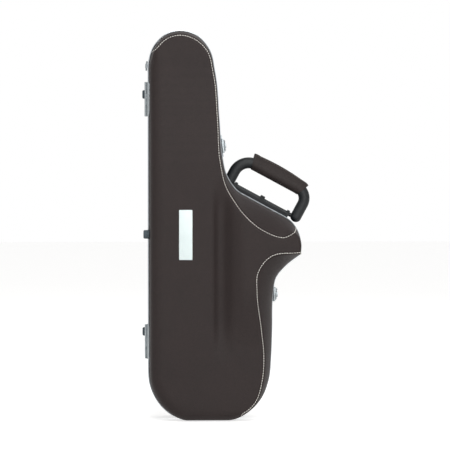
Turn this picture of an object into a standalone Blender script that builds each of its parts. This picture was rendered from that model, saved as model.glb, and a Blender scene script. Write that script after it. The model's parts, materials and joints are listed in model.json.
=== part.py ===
"""Alto saxophone case: a contoured hard case whose lid opens on two side hinges.

The case stands on its heel as a saxophone stands: +X right, +Y to the back, +Z up, metres.
The lid faces the viewer (-Y). The base shell, with the handle and the latches, is behind it.
"""
import math

import bmesh
import bpy
from mathutils import Matrix, Vector
from mathutils.geometry import delaunay_2d_cdt, interpolate_bezier

# Whole case
CASE_WIDTH = 0.261
CASE_HEIGHT = 0.660
HEEL_CENTRE_SHARE = 0.377
FIT_GAP = 0.0003
SHELL_WALL = 0.0045
CUT_OVERRUN = 0.002

# Depth of each shell, measured from the parting plane
LID_DEPTH = 0.066
LID_NECK_DROP = 0.014
LID_BELL_RISE = 0.012
LID_SKIRT = 0.020
LID_SOFT_EDGE = 0.020
BASE_DEPTH = 0.078
BASE_NECK_DROP = 0.018
BASE_SKIRT = 0.036
BASE_SOFT_EDGE = 0.018
STITCHED_EDGE = 0.005
VALLEY_DEPTH = 0.007
VALLEY_HALF_WIDTH = 0.015
VALLEY_FLOOR_HALF_WIDTH = 0.0035
VALLEY_ROW_STEP = 0.020
VALLEY_X_SHARE = 0.463
VALLEY_ACROSS_SHARES = (-1, -0.25, 0.25, 1)
VALLEY_FOOT_SHARES = (0.12, 0.19)
VALLEY_TOP_SHARES = (0.53, 0.61)
NECK_SHARES = (0.62, 0.95)
BELL_SHARES = (0.18, 0.34, 0.50, 0.62)
BELL_X_SHARES = (0.46, 0.62)
FACE_GRID = 0.026
GRID_CLEAR_SHARE = 0.55
NET_TOLERANCE = 1e-7

# Aluminium valance
VALANCE_PROUD = 0.0022
FLANGE_WIDTH = 0.009
FLANGE_THICKNESS = 0.0018
WEB_THICKNESS = 0.002
WEB_REACH = 0.0025
LIP_HEIGHT = 0.0015
LIP_THICKNESS = 0.0012

# Liners
LINER_GAP = 0.0012
LINER_FLOOR = 0.008
BASE_POCKET_DEPTH = 0.056
LID_POCKET_DEPTH = 0.040
POCKET_ROUND = 0.007
POCKET_DRAFT = 0.002
POCKET_FLOOR_ROUND = 0.004
DIVIDER_PROUD = 0.0015
DIVIDER_CENTRE_SHARES = (0.22, 0.836)
DIVIDER_THICKNESS = 0.006
DIVIDER_WIDTH = 0.074
DIVIDER_HEIGHT = 0.030

# Name plate
PLATE_WIDTH = 0.0224
PLATE_HEIGHT = 0.084
PLATE_THICKNESS = 0.0015
PLATE_SEAT = 0.0011

# Hinges
HINGE_LENGTH = 0.058
KNUCKLE_RADIUS = 0.0026
HINGE_PIN_RADIUS = 0.0012
LEAF_THICKNESS = 0.0014
BASE_LEAF_REACH = 0.0195
LID_LEAF_REACH = 0.032
RIVET_INSET = 0.0036
HINGE_RIVET_SPACING = 0.037
RIVET_RADIUS = 0.0030
RIVET_HEAD = 0.0012
RIVET_SHANK_RADIUS = 0.0014

# Rubber feet
FOOT_RADIUS = 0.008
FOOT_HEIGHT = 0.0105
FOOT_SCREW_RADIUS = 0.0034
FOOT_SCREW_DEPTH = 0.004
FOOT_ROUND = 0.0015
FOOT_TAPER_SHARE = 0.86
FOOT_DEPTH = 0.0285

# Draw latches
UPPER_LATCH_LENGTH = 0.037
LOWER_LATCH_LENGTH = 0.025
LATCH_PLATE_DEPTH = 0.018
LATCH_PLATE = 0.0014
LEVER_WIDTH = 0.016
LEVER_SHEET = 0.0012
LEVER_LENGTH = 0.018
CLAW_WIDTH = 0.0084
CLAW_SHEET = 0.0012
LATCH_PIN_RADIUS = 0.0011
CLAW_THROW = 0.006
KEEPER_LENGTH = 0.024
KEEPER_TOP = 0.0037
KEEPER_HOOK_DEPTH = 0.0084
LATCH_PIVOT_DEPTH = 0.011
LATCH_PIVOT_HEIGHT = 0.0044
PLATE_EDGE = 0.001
EAR_THICKNESS = 0.0014
EYE_WALL = 0.0009
CLAW_LIFT = 0.0015
CLAW_OFFSET = 0.0004
CLAW_HEADROOM = 0.0004
LEVER_WINDOW = 0.0055

# Handle
HANDLE_LENGTH = 0.106
HANDLE_BRACKET_DEPTH = 0.019
HANDLE_RECESS = 0.008
RECESS_SLOPE = 0.005
ROD_RADIUS = 0.0035
ROD_HEIGHT = 0.007
LOOP_SPAN = 0.1265
LOOP_RISE = 0.0477
LOOP_CORNER = 0.0215
LOOP_RADIUS = 0.0095
LOOP_FLATNESS_SHARE = 0.86
LOOP_FOOT_RADIUS = 0.0085
LOOP_FOOT_BELOW = 0.0055
LOOP_FOOT_END_SHARE = 0.65
GRIP_LENGTH = 0.097
GRIP_THICKNESS = 0.0024
BRACKET_STEP = 0.005
BRACKET_FOOT_SHARES = (0.70, 0.88)
EAR_LENGTH = 0.005
EAR_WALL = 0.002
CLIP_LENGTH = 0.008
CLIP_WALL = 0.003

# Strap rings
STRAP_PLATE_LENGTH = 0.020
STRAP_PLATE_DEPTH = 0.012
STRAP_PLATE = 0.0014
RING_WIRE_RADIUS = 0.0014
RING_WIDTH = 0.014
RING_REACH = 0.012
RING_CLEARANCE = 0.0005
UPPER_RING_DEPTH = 0.017
LOWER_RING_SHARES = (0.25, 0.152)

# Places of the fittings, as shares of the case's height, or of its width and height
UPPER_HINGE_SHARE = 0.823
LOWER_HINGE_SHARE = 0.200
UPPER_LATCH_SHARE = 0.703
LOWER_LATCH_SHARE = 0.321
HANDLE_CENTRE_SHARE = 0.5555
LID_FOOT_SHARE = 0.477
UPPER_FOOT_SHARE = 0.836
LOWER_FOOT_SHARE = 0.223
UPPER_RING_SHARE = 0.909
PLATE_CENTRE_SHARES = (0.236, 0.477)

# Outline of the rim and of the stitched face edge, as shares of the case's width and height,
# anticlockwise from the heel. The kind says how the line passes the point.
ROUND, STRAIGHT, CORNER = "round", "straight", "corner"
OUTLINE_SHARES = (
    (0.245, 0.000, 0.255, 0.000, STRAIGHT),
    (0.509, 0.000, 0.509, 0.000, STRAIGHT),
    (0.651, 0.018, 0.611, 0.018, ROUND),
    (0.741, 0.054, 0.692, 0.050, ROUND),
    (0.787, 0.099, 0.732, 0.100, ROUND),
    (0.804, 0.162, 0.745, 0.167, ROUND),
    (0.810, 0.228, 0.728, 0.234, ROUND),
    (0.817, 0.323, 0.697, 0.331, ROUND),
    (0.836, 0.364, 0.702, 0.380, ROUND),
    (0.893, 0.392, 0.770, 0.417, ROUND),
    (0.996, 0.424, 0.974, 0.430, CORNER),
    (0.997, 0.458, 0.975, 0.457, ROUND),
    (0.964, 0.495, 0.940, 0.480, ROUND),
    (0.896, 0.521, 0.862, 0.472, STRAIGHT),
    (0.7505, 0.552, 0.745, 0.487, STRAIGHT),
    (0.605, 0.583, 0.622, 0.526, STRAIGHT),
    (0.549, 0.605, 0.555, 0.562, ROUND),
    (0.511, 0.632, 0.503, 0.598, ROUND),
    (0.485, 0.679, 0.465, 0.660, ROUND),
    (0.467, 0.769, 0.448, 0.769, ROUND),
    (0.439, 0.892, 0.420, 0.892, ROUND),
    (0.402, 0.951, 0.382, 0.946, ROUND),
    (0.322, 0.987, 0.307, 0.975, ROUND),
    (0.216, 1.000, 0.217, 0.987, ROUND),
    (0.114, 0.990, 0.126, 0.980, ROUND),
    (0.036, 0.959, 0.053, 0.954, ROUND),
    (0.003, 0.918, 0.020, 0.916, ROUND),
    (0.000, 0.887, 0.000, 0.887, STRAIGHT),
    (0.000, 0.146, 0.000, 0.146, STRAIGHT),
    (0.016, 0.081, 0.026, 0.083, ROUND),
    (0.085, 0.033, 0.094, 0.038, ROUND),
    (0.166, 0.008, 0.172, 0.013, ROUND),
)
STITCHED_ROWS = (1, 2.5, 24, 26)
MIN_SHOULDER_SHARE = 0.5
ROUND_SHARE = 0.7
HANDLE_ROWS = (13, 15)
RECESS_ROWS = (12, 13, 17, 18)

# The pocket for the body and the bell, and the pocket for the neck and mouthpiece
BODY_POCKET_SHARES = (
    (0.24, 0.062, ROUND), (0.50, 0.060, ROUND), (0.65, 0.105, ROUND), (0.69, 0.180, ROUND),
    (0.66, 0.270, ROUND), (0.66, 0.350, ROUND), (0.72, 0.392, ROUND), (0.80, 0.410, ROUND),
    (0.845, 0.452, ROUND), (0.79, 0.490, ROUND), (0.62, 0.522, ROUND), (0.46, 0.600, ROUND),
    (0.375, 0.720, ROUND), (0.360, 0.800, ROUND), (0.32, 0.822, ROUND), (0.15, 0.822, ROUND),
    (0.103, 0.811, ROUND), (0.087, 0.785, STRAIGHT), (0.09, 0.160, STRAIGHT),
)
NECK_POCKET_SHARES = (
    (0.13, 0.852, ROUND), (0.30, 0.852, ROUND), (0.345, 0.872, ROUND), (0.34, 0.905, ROUND),
    (0.29, 0.942, ROUND), (0.22, 0.955, ROUND), (0.14, 0.942, ROUND), (0.095, 0.905, ROUND),
    (0.09, 0.872, ROUND),
)

# Angle that one step of an outline may turn, and the number of sides of a round piece
STEP_TURN = math.radians(15)
ROUND_STEPS = 12

PARTING = -FLANGE_WIDTH / 2
LID, BASE = -1, 1

# Colours from the photograph
LEATHER = ((0.063, 0.053, 0.050), 0.55, 0.0)
PLUSH = ((0.020, 0.018, 0.018), 0.95, 0.0)
ALUMINIUM = ((0.62, 0.66, 0.70), 0.30, 1.0)
NICKEL = ((0.50, 0.53, 0.56), 0.25, 1.0)
STEEL = ((0.36, 0.38, 0.40), 0.35, 1.0)
RUBBER = ((0.075, 0.105, 0.125), 0.70, 0.0)
BLACK_PLASTIC = ((0.018, 0.024, 0.026), 0.45, 0.0)
WHITE_METAL = ((0.84, 0.93, 0.92), 0.35, 0.0)


def clear_scene():
    for item in list(bpy.data.objects):
        bpy.data.objects.remove(item, do_unlink=True)


def finish_object(name, mesh_data, look, frame=None, closed=True):
    """Makes one named object with a material of its own, placed by its frame."""
    if closed:
        bmesh.ops.recalc_face_normals(mesh_data, faces=mesh_data.faces[:])
    mesh = bpy.data.meshes.new(name)
    mesh_data.to_mesh(mesh)
    mesh_data.free()
    item = bpy.data.objects.new(name, mesh)
    bpy.context.collection.objects.link(item)
    colour, roughness, metallic = look
    material = bpy.data.materials.new(name + "_finish")
    material.use_nodes = True
    shader = material.node_tree.nodes["Principled BSDF"]
    shader.inputs["Base Color"].default_value = (*colour, 1.0)
    shader.inputs["Roughness"].default_value = roughness
    shader.inputs["Metallic"].default_value = metallic
    mesh.materials.append(material)
    mesh.shade_smooth()
    mesh.set_sharp_from_angle(angle=math.radians(35))
    if frame is not None:
        item.matrix_world = frame
    return item


def combine(item, other, operation):
    """Joins a second object to the first, or cuts it away, and hides the second."""
    modifier = item.modifiers.new(other.name, "BOOLEAN")
    modifier.operation = operation
    modifier.object = other
    other.hide_render = True
    other.display_type = "WIRE"


def prism(outline, start, end):
    """Extrudes an outline in the YZ plane along X."""
    result = bmesh.new()
    low = [result.verts.new((start, y, z)) for y, z in outline]
    high = [result.verts.new((end, y, z)) for y, z in outline]
    result.faces.new(low)
    result.faces.new(list(reversed(high)))
    for index in range(len(outline)):
        following = (index + 1) % len(outline)
        result.faces.new((low[index], high[index], high[following], low[following]))
    return result


def box(x_range, y_range, z_range):
    (front, back), (low, high) = y_range, z_range
    return prism([(front, low), (back, low), (back, high), (front, high)], *x_range)


def circle_points(radius, centre=(0, 0), steps=ROUND_STEPS, start=0, turn=math.tau):
    whole = steps if math.isclose(turn, math.tau) else steps + 1
    angles = [start + turn * index / steps for index in range(whole)]
    return [(centre[0] + radius * math.cos(a), centre[1] + radius * math.sin(a)) for a in angles]


def drum(radius, start, end, centre=(0, 0), steps=ROUND_STEPS):
    """A round bar along X."""
    return prism(circle_points(radius, centre, steps), start, end)


def turned(profile, steps=ROUND_STEPS):
    """Turns (radius, height) points about Z. The first and the last point lie on the axis."""
    result = bmesh.new()
    foot = result.verts.new((0, 0, profile[0][1]))
    rings = []
    for radius, height in profile[1:-1]:
        rings.append([result.verts.new((x, y, height)) for x, y in circle_points(radius, steps=steps)])
    top = result.verts.new((0, 0, profile[-1][1]))
    for index in range(steps):
        following = (index + 1) % steps
        result.faces.new((foot, rings[0][following], rings[0][index]))
        for lower, upper in zip(rings, rings[1:]):
            result.faces.new((lower[index], lower[following], upper[following], upper[index]))
        result.faces.new((top, rings[-1][index], rings[-1][following]))
    return result


def swept(path, sections, stretch=None):
    """Runs oval sections, given as (in-plane radius, across radius), along a path in the XZ plane.

    With a stretch, only those points of the path get a section, and the ends stay open.
    """
    result = bmesh.new()
    rings = []
    for index in stretch or range(len(path)):
        point = path[index]
        before = path[max(index - 1, 0)]
        after = path[min(index + 1, len(path) - 1)]
        along = (after - before).normalized()
        side = Vector((along.z, 0, -along.x))
        in_plane, across = sections[index]
        ring = []
        for u, v in circle_points(1, steps=ROUND_STEPS):
            ring.append(result.verts.new(point + side * (u * in_plane) + Vector((0, v * across, 0))))
        rings.append(ring)
    for lower, upper in zip(rings, rings[1:]):
        for index in range(ROUND_STEPS):
            following = (index + 1) % ROUND_STEPS
            result.faces.new((lower[index], lower[following], upper[following], upper[index]))
    if stretch is None:
        result.faces.new(rings[0])
        result.faces.new(rings[-1])
    return result, rings


def placed_point(x_share, z_share):
    return Vector(((x_share - HEEL_CENTRE_SHARE) * CASE_WIDTH, z_share * CASE_HEIGHT))


def tangents_at(points, kinds, index):
    """Directions in which a closed line reaches and leaves a point."""
    point, count = points[index], len(points)
    reach = point - points[index - 1]
    leave = points[(index + 1) % count] - point
    if kinds[index] == CORNER:
        return reach.normalized(), leave.normalized()
    if kinds[index] == STRAIGHT:
        longest = reach if kinds[index - 1] == STRAIGHT else leave
        return longest.normalized(), longest.normalized()
    blend = (reach.normalized() * leave.length + leave.normalized() * reach.length).normalized()
    return blend, blend


def flowing_pieces(points, kinds):
    """Bezier handles of each stretch of a closed line through the points."""
    pieces = []
    for index, point in enumerate(points):
        following = (index + 1) % len(points)
        end = points[following]
        reach = (end - point).length / 3
        leave = tangents_at(points, kinds, index)[1]
        arrive = tangents_at(points, kinds, following)[0]
        pieces.append((point, point + leave * reach, end - arrive * reach, end, leave.angle(arrive)))
    return pieces


def sampled_lines(lines, kind_lists):
    """Samples paired closed lines with equal steps, finer where the first one turns."""
    piece_sets = [flowing_pieces(points, kinds) for points, kinds in zip(lines, kind_lists)]
    results = [[] for _ in lines]
    rows = []
    for index in range(len(lines[0])):
        steps = max(1, math.ceil(piece_sets[0][index][4] / STEP_TURN))
        rows += [index + step / steps for step in range(steps)]
        for result, pieces in zip(results, piece_sets):
            result += interpolate_bezier(*pieces[index][:4], steps + 1)[:-1]
    return [[Vector(point[:2]) for point in result] for result in results], rows


def inward_normals(points):
    """Mitred normals that point into an anticlockwise line."""
    normals = []
    for index, point in enumerate(points):
        reach = (point - points[index - 1]).normalized()
        leave = (points[(index + 1) % len(points)] - point).normalized()
        normal = Vector((-reach.y - leave.y, reach.x + leave.x)).normalized()
        normals.append(normal / max(normal.dot(Vector((-leave.y, leave.x))), 0.5))
    return normals


def inset_line(points, distance):
    return [point + normal * distance for point, normal in zip(points, inward_normals(points))]


def smooth_step(value, start, end):
    share = min(max((value - start) / (end - start), 0), 1)
    return share * share * (3 - 2 * share)


def window(value, limits):
    """One between the inner limits, nothing outside the outer ones, and smooth between."""
    return smooth_step(value, *limits[:2]) * (1 - smooth_step(value, *limits[2:]))


def valley_line_x():
    return placed_point(VALLEY_X_SHARE, 0).x


def lid_face_depth(point):
    """Depth of the lid's front: lower at the neck, raised over the bell, with a valley between."""
    share_x = point.x / CASE_WIDTH + HEEL_CENTRE_SHARE
    share_z = point.y / CASE_HEIGHT
    depth = LID_DEPTH - LID_NECK_DROP * smooth_step(share_z, *NECK_SHARES)
    depth += LID_BELL_RISE * window(share_z, BELL_SHARES) * smooth_step(share_x, *BELL_X_SHARES)
    along = window(share_z, VALLEY_FOOT_SHARES + VALLEY_TOP_SHARES)
    across = 1 - smooth_step(abs(point.x - valley_line_x()), VALLEY_FLOOR_HALF_WIDTH, VALLEY_HALF_WIDTH)
    return depth - VALLEY_DEPTH * along * across


def base_face_depth(point):
    """Depth of the base's back: flat, and lower at the neck."""
    return BASE_DEPTH - BASE_NECK_DROP * smooth_step(point.y / CASE_HEIGHT, *NECK_SHARES)


def inside(point, polygon):
    crossing = False
    for index, end in enumerate(polygon):
        start = polygon[index - 1]
        if (start.y > point.y) != (end.y > point.y):
            crossing ^= point.x < start.x + (end.x - start.x) * (point.y - start.y) / (end.y - start.y)
    return crossing


def clear_of(point, polygon, distance):
    for index, end in enumerate(polygon):
        start = polygon[index - 1]
        side = end - start
        share = min(max((point - start).dot(side) / side.length_squared, 0), 1)
        if (start + side * share - point).length < distance:
            return False
    return True


def grid_points(polygon, spacing, holes=()):
    """Points of a regular grid that lie inside a line and clear of it and of its holes."""
    xs = [point.x for point in polygon]
    ys = [point.y for point in polygon]
    columns = int((max(xs) - min(xs)) / spacing) + 1
    rows = int((max(ys) - min(ys)) / spacing) + 1
    found = []
    for row in range(rows):
        for column in range(columns):
            point = Vector((min(xs) + (column + 0.5 * (row % 2)) * spacing, min(ys) + row * spacing))
            clear = spacing * GRID_CLEAR_SHARE
            blocked = any(inside(point, hole) or not clear_of(point, hole, clear) for hole in holes)
            if inside(point, polygon) and clear_of(point, polygon, clear) and not blocked:
                found.append(point)
    return found


def face_points(line, side):
    """Inner points of a shell's face: a grid and, on the lid, rows that follow the valley."""
    points = grid_points(line, FACE_GRID)
    if side == BASE:
        return points
    foot, top = [share * CASE_HEIGHT for share in (VALLEY_FOOT_SHARES[0], VALLEY_TOP_SHARES[1])]
    rows = math.ceil((top - foot) / VALLEY_ROW_STEP)
    valley = [Vector((valley_line_x() + share * VALLEY_HALF_WIDTH, foot + (top - foot) * row / rows))
              for row in range(rows + 1) for share in VALLEY_ACROSS_SHARES]
    clear = 2 * VALLEY_HALF_WIDTH
    kept = [p for p in points if abs(p.x - valley_line_x()) > clear or not foot - clear < p.y < top + clear]
    return kept + [p for p in valley if inside(p, line) and clear_of(p, line, VALLEY_ROW_STEP / 4)]


def fill_between(mesh_data, rings, points, height):
    """Fills the area inside the first ring of vertices, around the other rings, with a triangle net."""
    flat = [Vector((vertex.co.x, vertex.co.z)) for ring in rings for vertex in ring]
    vertices = [vertex for ring in rings for vertex in ring]
    edges = []
    offset = 0
    for ring in rings:
        edges += [(offset + index, offset + (index + 1) % len(ring)) for index in range(len(ring))]
        offset += len(ring)
    vertices += [mesh_data.verts.new((point.x, height(point), point.y)) for point in points]
    net = delaunay_2d_cdt(flat + points, edges, [], 1, NET_TOLERANCE)
    outlines = [[Vector((vertex.co.x, vertex.co.z)) for vertex in ring] for ring in rings]
    for triangle in net[2]:
        middle = sum((net[0][corner] for corner in triangle), Vector((0, 0))) / 3
        if inside(middle, outlines[0]) and not any(inside(middle, hole) for hole in outlines[1:]):
            mesh_data.faces.new([vertices[net[3][corner][0]] for corner in triangle])


def bridge(mesh_data, lower, upper):
    for index in range(len(lower)):
        following = (index + 1) % len(lower)
        mesh_data.faces.new((lower[index], lower[following], upper[following], upper[index]))


def case_lines():
    rim = [placed_point(row[0], row[1]) for row in OUTLINE_SHARES]
    face = [placed_point(row[2], row[3]) for row in OUTLINE_SHARES]
    kinds = [row[4] for row in OUTLINE_SHARES]
    first, last = HANDLE_ROWS
    face_kinds = kinds[:first] + [ROUND] * (last + 1 - first) + kinds[last + 1:]
    return sampled_lines((rim, face), (kinds, face_kinds))


def shrink(mesh_data, distance):
    """Moves a skin inward by one distance everywhere, measured square to its faces."""
    mesh_data.normal_update()
    shifts = [(vertex, vertex.normal * distance * vertex.calc_shell_factor()) for vertex in mesh_data.verts]
    for vertex, shift in shifts:
        vertex.co -= shift


def wall_profile(rim, low, corner, high, edge, depth, skirt):
    """Plan points and depths up one stretch of wall: step, skirt, shoulder, round-over and face."""
    start = max(1 - edge / (depth - skirt), MIN_SHOULDER_SHARE)
    step = FLANGE_WIDTH + 2 * FIT_GAP
    profile = [(rim, WEB_THICKNESS + FIT_GAP), (rim, step), (low, step + RECESS_SLOPE), (low, skirt)]
    for share in (start / 2, start):
        profile.append((low.lerp(corner, share * share), skirt + (depth - skirt) * share))
    begin, begin_depth = profile[-1]
    for share in (1 / 3, 2 / 3, 1):
        first, middle, last = (1 - share) ** 2, 2 * share * (1 - share), share * share
        plan = begin * first + corner * middle + high * last
        profile.append((plan, begin_depth * first + depth * (middle + last)))
    return profile


def at_depth(side, depth):
    """Y of a place at a depth into the lid or the base, measured from its own side of the parting."""
    return PARTING + depth if side == BASE else PARTING - FIT_GAP - depth


def shell_skin(side, stepped):
    """Outer skin of a shell, open at the rim, with its normals out, and its rim vertices.

    Stepped, the wall of the base steps back under the handle only behind the aluminium edge.
    """
    (silhouette, face), rows = case_lines()
    depth_of = lid_face_depth if side == LID else base_face_depth
    skirt = LID_SKIRT if side == LID else BASE_SKIRT
    soft = LID_SOFT_EDGE if side == LID else BASE_SOFT_EDGE
    left = placed_point(0, 0).x + VALANCE_PROUD
    face = [Vector((max(point.x, left), point.y)) for point in face]
    profiles = []
    rim = inset_line(silhouette, VALANCE_PROUD)
    deep = inset_line(silhouette, VALANCE_PROUD + HANDLE_RECESS)
    for row, outer, inner, corner, normal in zip(rows, rim, deep, face, inward_normals(face)):
        edge = soft + (STITCHED_EDGE - soft) * window(row, STITCHED_ROWS)
        high = corner + normal * edge
        low = outer.lerp(inner, window(row, RECESS_ROWS)) if side == BASE else outer
        lip = outer if stepped else low
        profiles.append(wall_profile(lip, low, corner, high, edge, depth_of(high), skirt))
    result = bmesh.new()
    rings = []
    for ring in zip(*profiles):
        rings.append([result.verts.new((plan.x, at_depth(side, depth), plan.y)) for plan, depth in ring])
    for lower, upper in zip(rings, rings[1:]):
        bridge(result, lower, upper)
    line = [profile[-1][0] for profile in profiles]
    fill_between(result, [rings[-1]], face_points(line, side), lambda point: at_depth(side, depth_of(point)))
    bmesh.ops.recalc_face_normals(result, faces=result.faces[:])
    wall = result.faces[0]
    result.normal_update()
    middle = Vector((0, wall.calc_center_median().y, CASE_HEIGHT / 2))
    if wall.normal.dot(wall.calc_center_median() - middle) < 0:
        bmesh.ops.reverse_faces(result, faces=result.faces[:])
    return result, rings[0]


def make_shell(name, side):
    skin, _ = shell_skin(side, True)
    shell = finish_object(name, skin, LEATHER, closed=False)
    wall = shell.modifiers.new("wall", "SOLIDIFY")
    wall.thickness = SHELL_WALL
    wall.offset = -1
    wall.use_even_offset = True
    return shell


def make_valance(name, side):
    """The aluminium edge: a web under the shell's rim, a flange round it and, on the base, a lip."""
    (silhouette, _), _ = case_lines()
    web = VALANCE_PROUD + SHELL_WALL + WEB_REACH
    profile = [(0, 0), (0, FLANGE_WIDTH), (FLANGE_THICKNESS, FLANGE_WIDTH), (FLANGE_THICKNESS, WEB_THICKNESS)]
    if side == LID:
        profile += [(web, WEB_THICKNESS), (web, 0)]
    else:
        inner = web + FIT_GAP + LIP_THICKNESS
        profile += [(inner, WEB_THICKNESS), (inner, -LIP_HEIGHT)]
        profile += [(web + FIT_GAP, -LIP_HEIGHT), (web + FIT_GAP, 0)]
    result = bmesh.new()
    rings = []
    for inset, depth in profile:
        line = inset_line(silhouette, inset)
        rings.append([result.verts.new((point.x, at_depth(side, depth), point.y)) for point in line])
    for index, ring in enumerate(rings):
        bridge(result, rings[index - 1], ring)
    return finish_object(name, result, ALUMINIUM)


def pocket_rings(mesh_data, table, side, depth_of):
    """Rings of a pocket with a rounded mouth and a rounded floor, from the mouth down."""
    points = [placed_point(row[0], row[1]) for row in table]
    (mouth,), _ = sampled_lines((points,), ([row[2] for row in table],))
    land = WEB_THICKNESS + FIT_GAP
    steps = ((0, land), (POCKET_ROUND * ROUND_SHARE, land + POCKET_ROUND * (1 - ROUND_SHARE)),
             (POCKET_ROUND, land + POCKET_ROUND))
    rings = []
    for inset, depth in steps:
        line = inset_line(mouth, inset)
        rings.append([mesh_data.verts.new((p.x, at_depth(side, depth), p.y)) for p in line])
    foot = POCKET_ROUND + POCKET_DRAFT
    for inset, lift in ((foot, POCKET_FLOOR_ROUND), (foot + POCKET_FLOOR_ROUND, 0)):
        line = inset_line(mouth, inset)
        rings.append([mesh_data.verts.new((p.x, at_depth(side, depth_of(p) - lift), p.y)) for p in line])
    for lower, upper in zip(rings, rings[1:]):
        bridge(mesh_data, lower, upper)
    floor = [Vector((vertex.co.x, vertex.co.z)) for vertex in rings[-1]]
    fill_between(mesh_data, [rings[-1]], grid_points(floor, FACE_GRID), lambda p: at_depth(side, depth_of(p)))
    return rings[0]


def make_liner(name, side):
    """Padding that fills a shell, with a pocket for the instrument and one for the neck."""
    result, rim = shell_skin(side, False)
    shrink(result, SHELL_WALL + LINER_GAP)
    land = at_depth(side, WEB_THICKNESS + FIT_GAP)
    for vertex in rim:
        vertex.co.y = land
    face_depth = lid_face_depth if side == LID else base_face_depth
    pocket = LID_POCKET_DEPTH if side == LID else BASE_POCKET_DEPTH

    def floor_depth(point):
        return min(pocket, face_depth(point) - SHELL_WALL - LINER_GAP - LINER_FLOOR)

    tables = (BODY_POCKET_SHARES, NECK_POCKET_SHARES)
    mouths = [pocket_rings(result, table, side, floor_depth) for table in tables]
    outline = [Vector((vertex.co.x, vertex.co.z)) for vertex in rim]
    holes = [[Vector((vertex.co.x, vertex.co.z)) for vertex in mouth] for mouth in mouths]
    points = grid_points(outline, FACE_GRID, holes)
    fill_between(result, [rim] + mouths, points, lambda point: land)
    return finish_object(name, result, PLUSH)


def fitting_frame(origin, outward):
    """Local X runs along the rim, Y goes into the base and Z stands out of the case."""
    frame = Matrix.Identity(4)
    frame.col[0].xyz = (outward.y, 0, -outward.x)
    frame.col[1].xyz = (0, 1, 0)
    frame.col[2].xyz = (outward.x, 0, outward.y)
    frame.translation = (origin.x, PARTING, origin.y)
    return frame


def rim_frame(share, half_length, right=True):
    """Frame of a fitting on the rim: its chord, lifted clear of whatever bulges between its ends."""
    (silhouette, _), _ = case_lines()
    height = share * CASE_HEIGHT

    def crossing(level):
        found = []
        for index, end in enumerate(silhouette):
            start = silhouette[index - 1]
            if (start.y > level) != (end.y > level):
                found.append(start.lerp(end, (level - start.y) / (end.y - start.y)))
        return (max if right else min)(found, key=lambda point: point.x)

    low, high = crossing(height - half_length), crossing(height + half_length)
    along = (high - low).normalized()
    outward = Vector((along.y, -along.x)) if right else Vector((-along.y, along.x))
    middle = low.lerp(high, 0.5)
    between = [p for p in silhouette if low.y < p.y < high.y and (p - middle).length < 2 * half_length]
    bulge = max([0] + [(point - middle).dot(outward) for point in between])
    return fitting_frame(middle + outward * bulge, outward)


def shifted(frame, x=0, y=0, z=0):
    return frame @ Matrix.Translation((x, y, z))


def make_rivet(name, frame, seat):
    """A domed head on the sheet and a shank through it."""
    profile = [(0, seat - LEAF_THICKNESS), (RIVET_SHANK_RADIUS, seat - LEAF_THICKNESS),
               (RIVET_SHANK_RADIUS, seat + FIT_GAP), (RIVET_RADIUS, seat + FIT_GAP),
               (RIVET_RADIUS * ROUND_SHARE, seat + RIVET_HEAD * ROUND_SHARE), (0, seat + RIVET_HEAD)]
    return finish_object(name, turned(profile), NICKEL, frame)


def rivet_hole(item, frame, x, y):
    cutter = bmesh.new()
    bmesh.ops.create_cone(cutter, cap_ends=True, segments=ROUND_STEPS, radius1=RIVET_SHANK_RADIUS + FIT_GAP,
                          radius2=RIVET_SHANK_RADIUS + FIT_GAP, depth=4 * VALANCE_PROUD)
    hole = finish_object(item.name + "_hole", cutter, STEEL, shifted(frame, x, y))
    combine(item, hole, "DIFFERENCE")


def make_hinge(name, share):
    """Two leaves with interleaved knuckles on one pin, each riveted to its shell."""
    frame = rim_frame(share, HINGE_LENGTH / 2, right=False)
    axis = FIT_GAP + KNUCKLE_RADIUS
    low = FIT_GAP - VALANCE_PROUD
    top = FIT_GAP + LEAF_THICKNESS
    root = math.asin((top - axis) / KNUCKLE_RADIUS)
    third = HINGE_LENGTH / 3
    for side, label, reach in ((BASE, "_base_leaf", BASE_LEAF_REACH), (LID, "_lid_leaf", LID_LEAF_REACH)):
        bend = FLANGE_WIDTH + 2 * FIT_GAP
        step = bend + VALANCE_PROUD
        outline = [(0, FIT_GAP), (bend, FIT_GAP), (step, low), (reach, low), (reach, low + LEAF_THICKNESS),
                   (step + LEAF_THICKNESS / 2, low + LEAF_THICKNESS), (bend + LEAF_THICKNESS / 2, top)]
        outline += circle_points(KNUCKLE_RADIUS, (0, axis), 14, root, 1.5 * math.pi - root)[:-1]
        outline = [(y * side, z) for y, z in outline]
        leaf = finish_object(name + label, prism(outline, -HINGE_LENGTH / 2, HINGE_LENGTH / 2), NICKEL, frame)
        gaps = ((-third / 2, third / 2),) if side == BASE else (
            (-2 * third, -third / 2), (third / 2, 2 * third))
        for index, (start, end) in enumerate(gaps):
            spread = FIT_GAP / 2
            reach_in = KNUCKLE_RADIUS + FIT_GAP
            notch = box((start - spread, end + spread), (-reach_in, reach_in), (-axis, 2 * axis))
            combine(leaf, finish_object(f"{leaf.name}_notch_{index}", notch, STEEL, frame), "DIFFERENCE")
        bore = drum(HINGE_PIN_RADIUS + FIT_GAP, -HINGE_LENGTH, HINGE_LENGTH, (0, axis))
        combine(leaf, finish_object(leaf.name + "_bore", bore, STEEL, frame), "DIFFERENCE")
        row = side * (reach - RIVET_INSET)
        for end, word in ((-1, "lower"), (1, "upper")):
            place = end * HINGE_RIVET_SPACING / 2
            rivet_hole(leaf, frame, place, row)
            seat = low + LEAF_THICKNESS
            make_rivet(f"{name}{label}_{word}_rivet", shifted(frame, place, row), seat)
    pin = drum(HINGE_PIN_RADIUS, -HINGE_LENGTH / 2 - FIT_GAP, HINGE_LENGTH / 2 + FIT_GAP, (0, 0))
    finish_object(name + "_pin", pin, STEEL, shifted(frame, 0, 0, axis))


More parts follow.
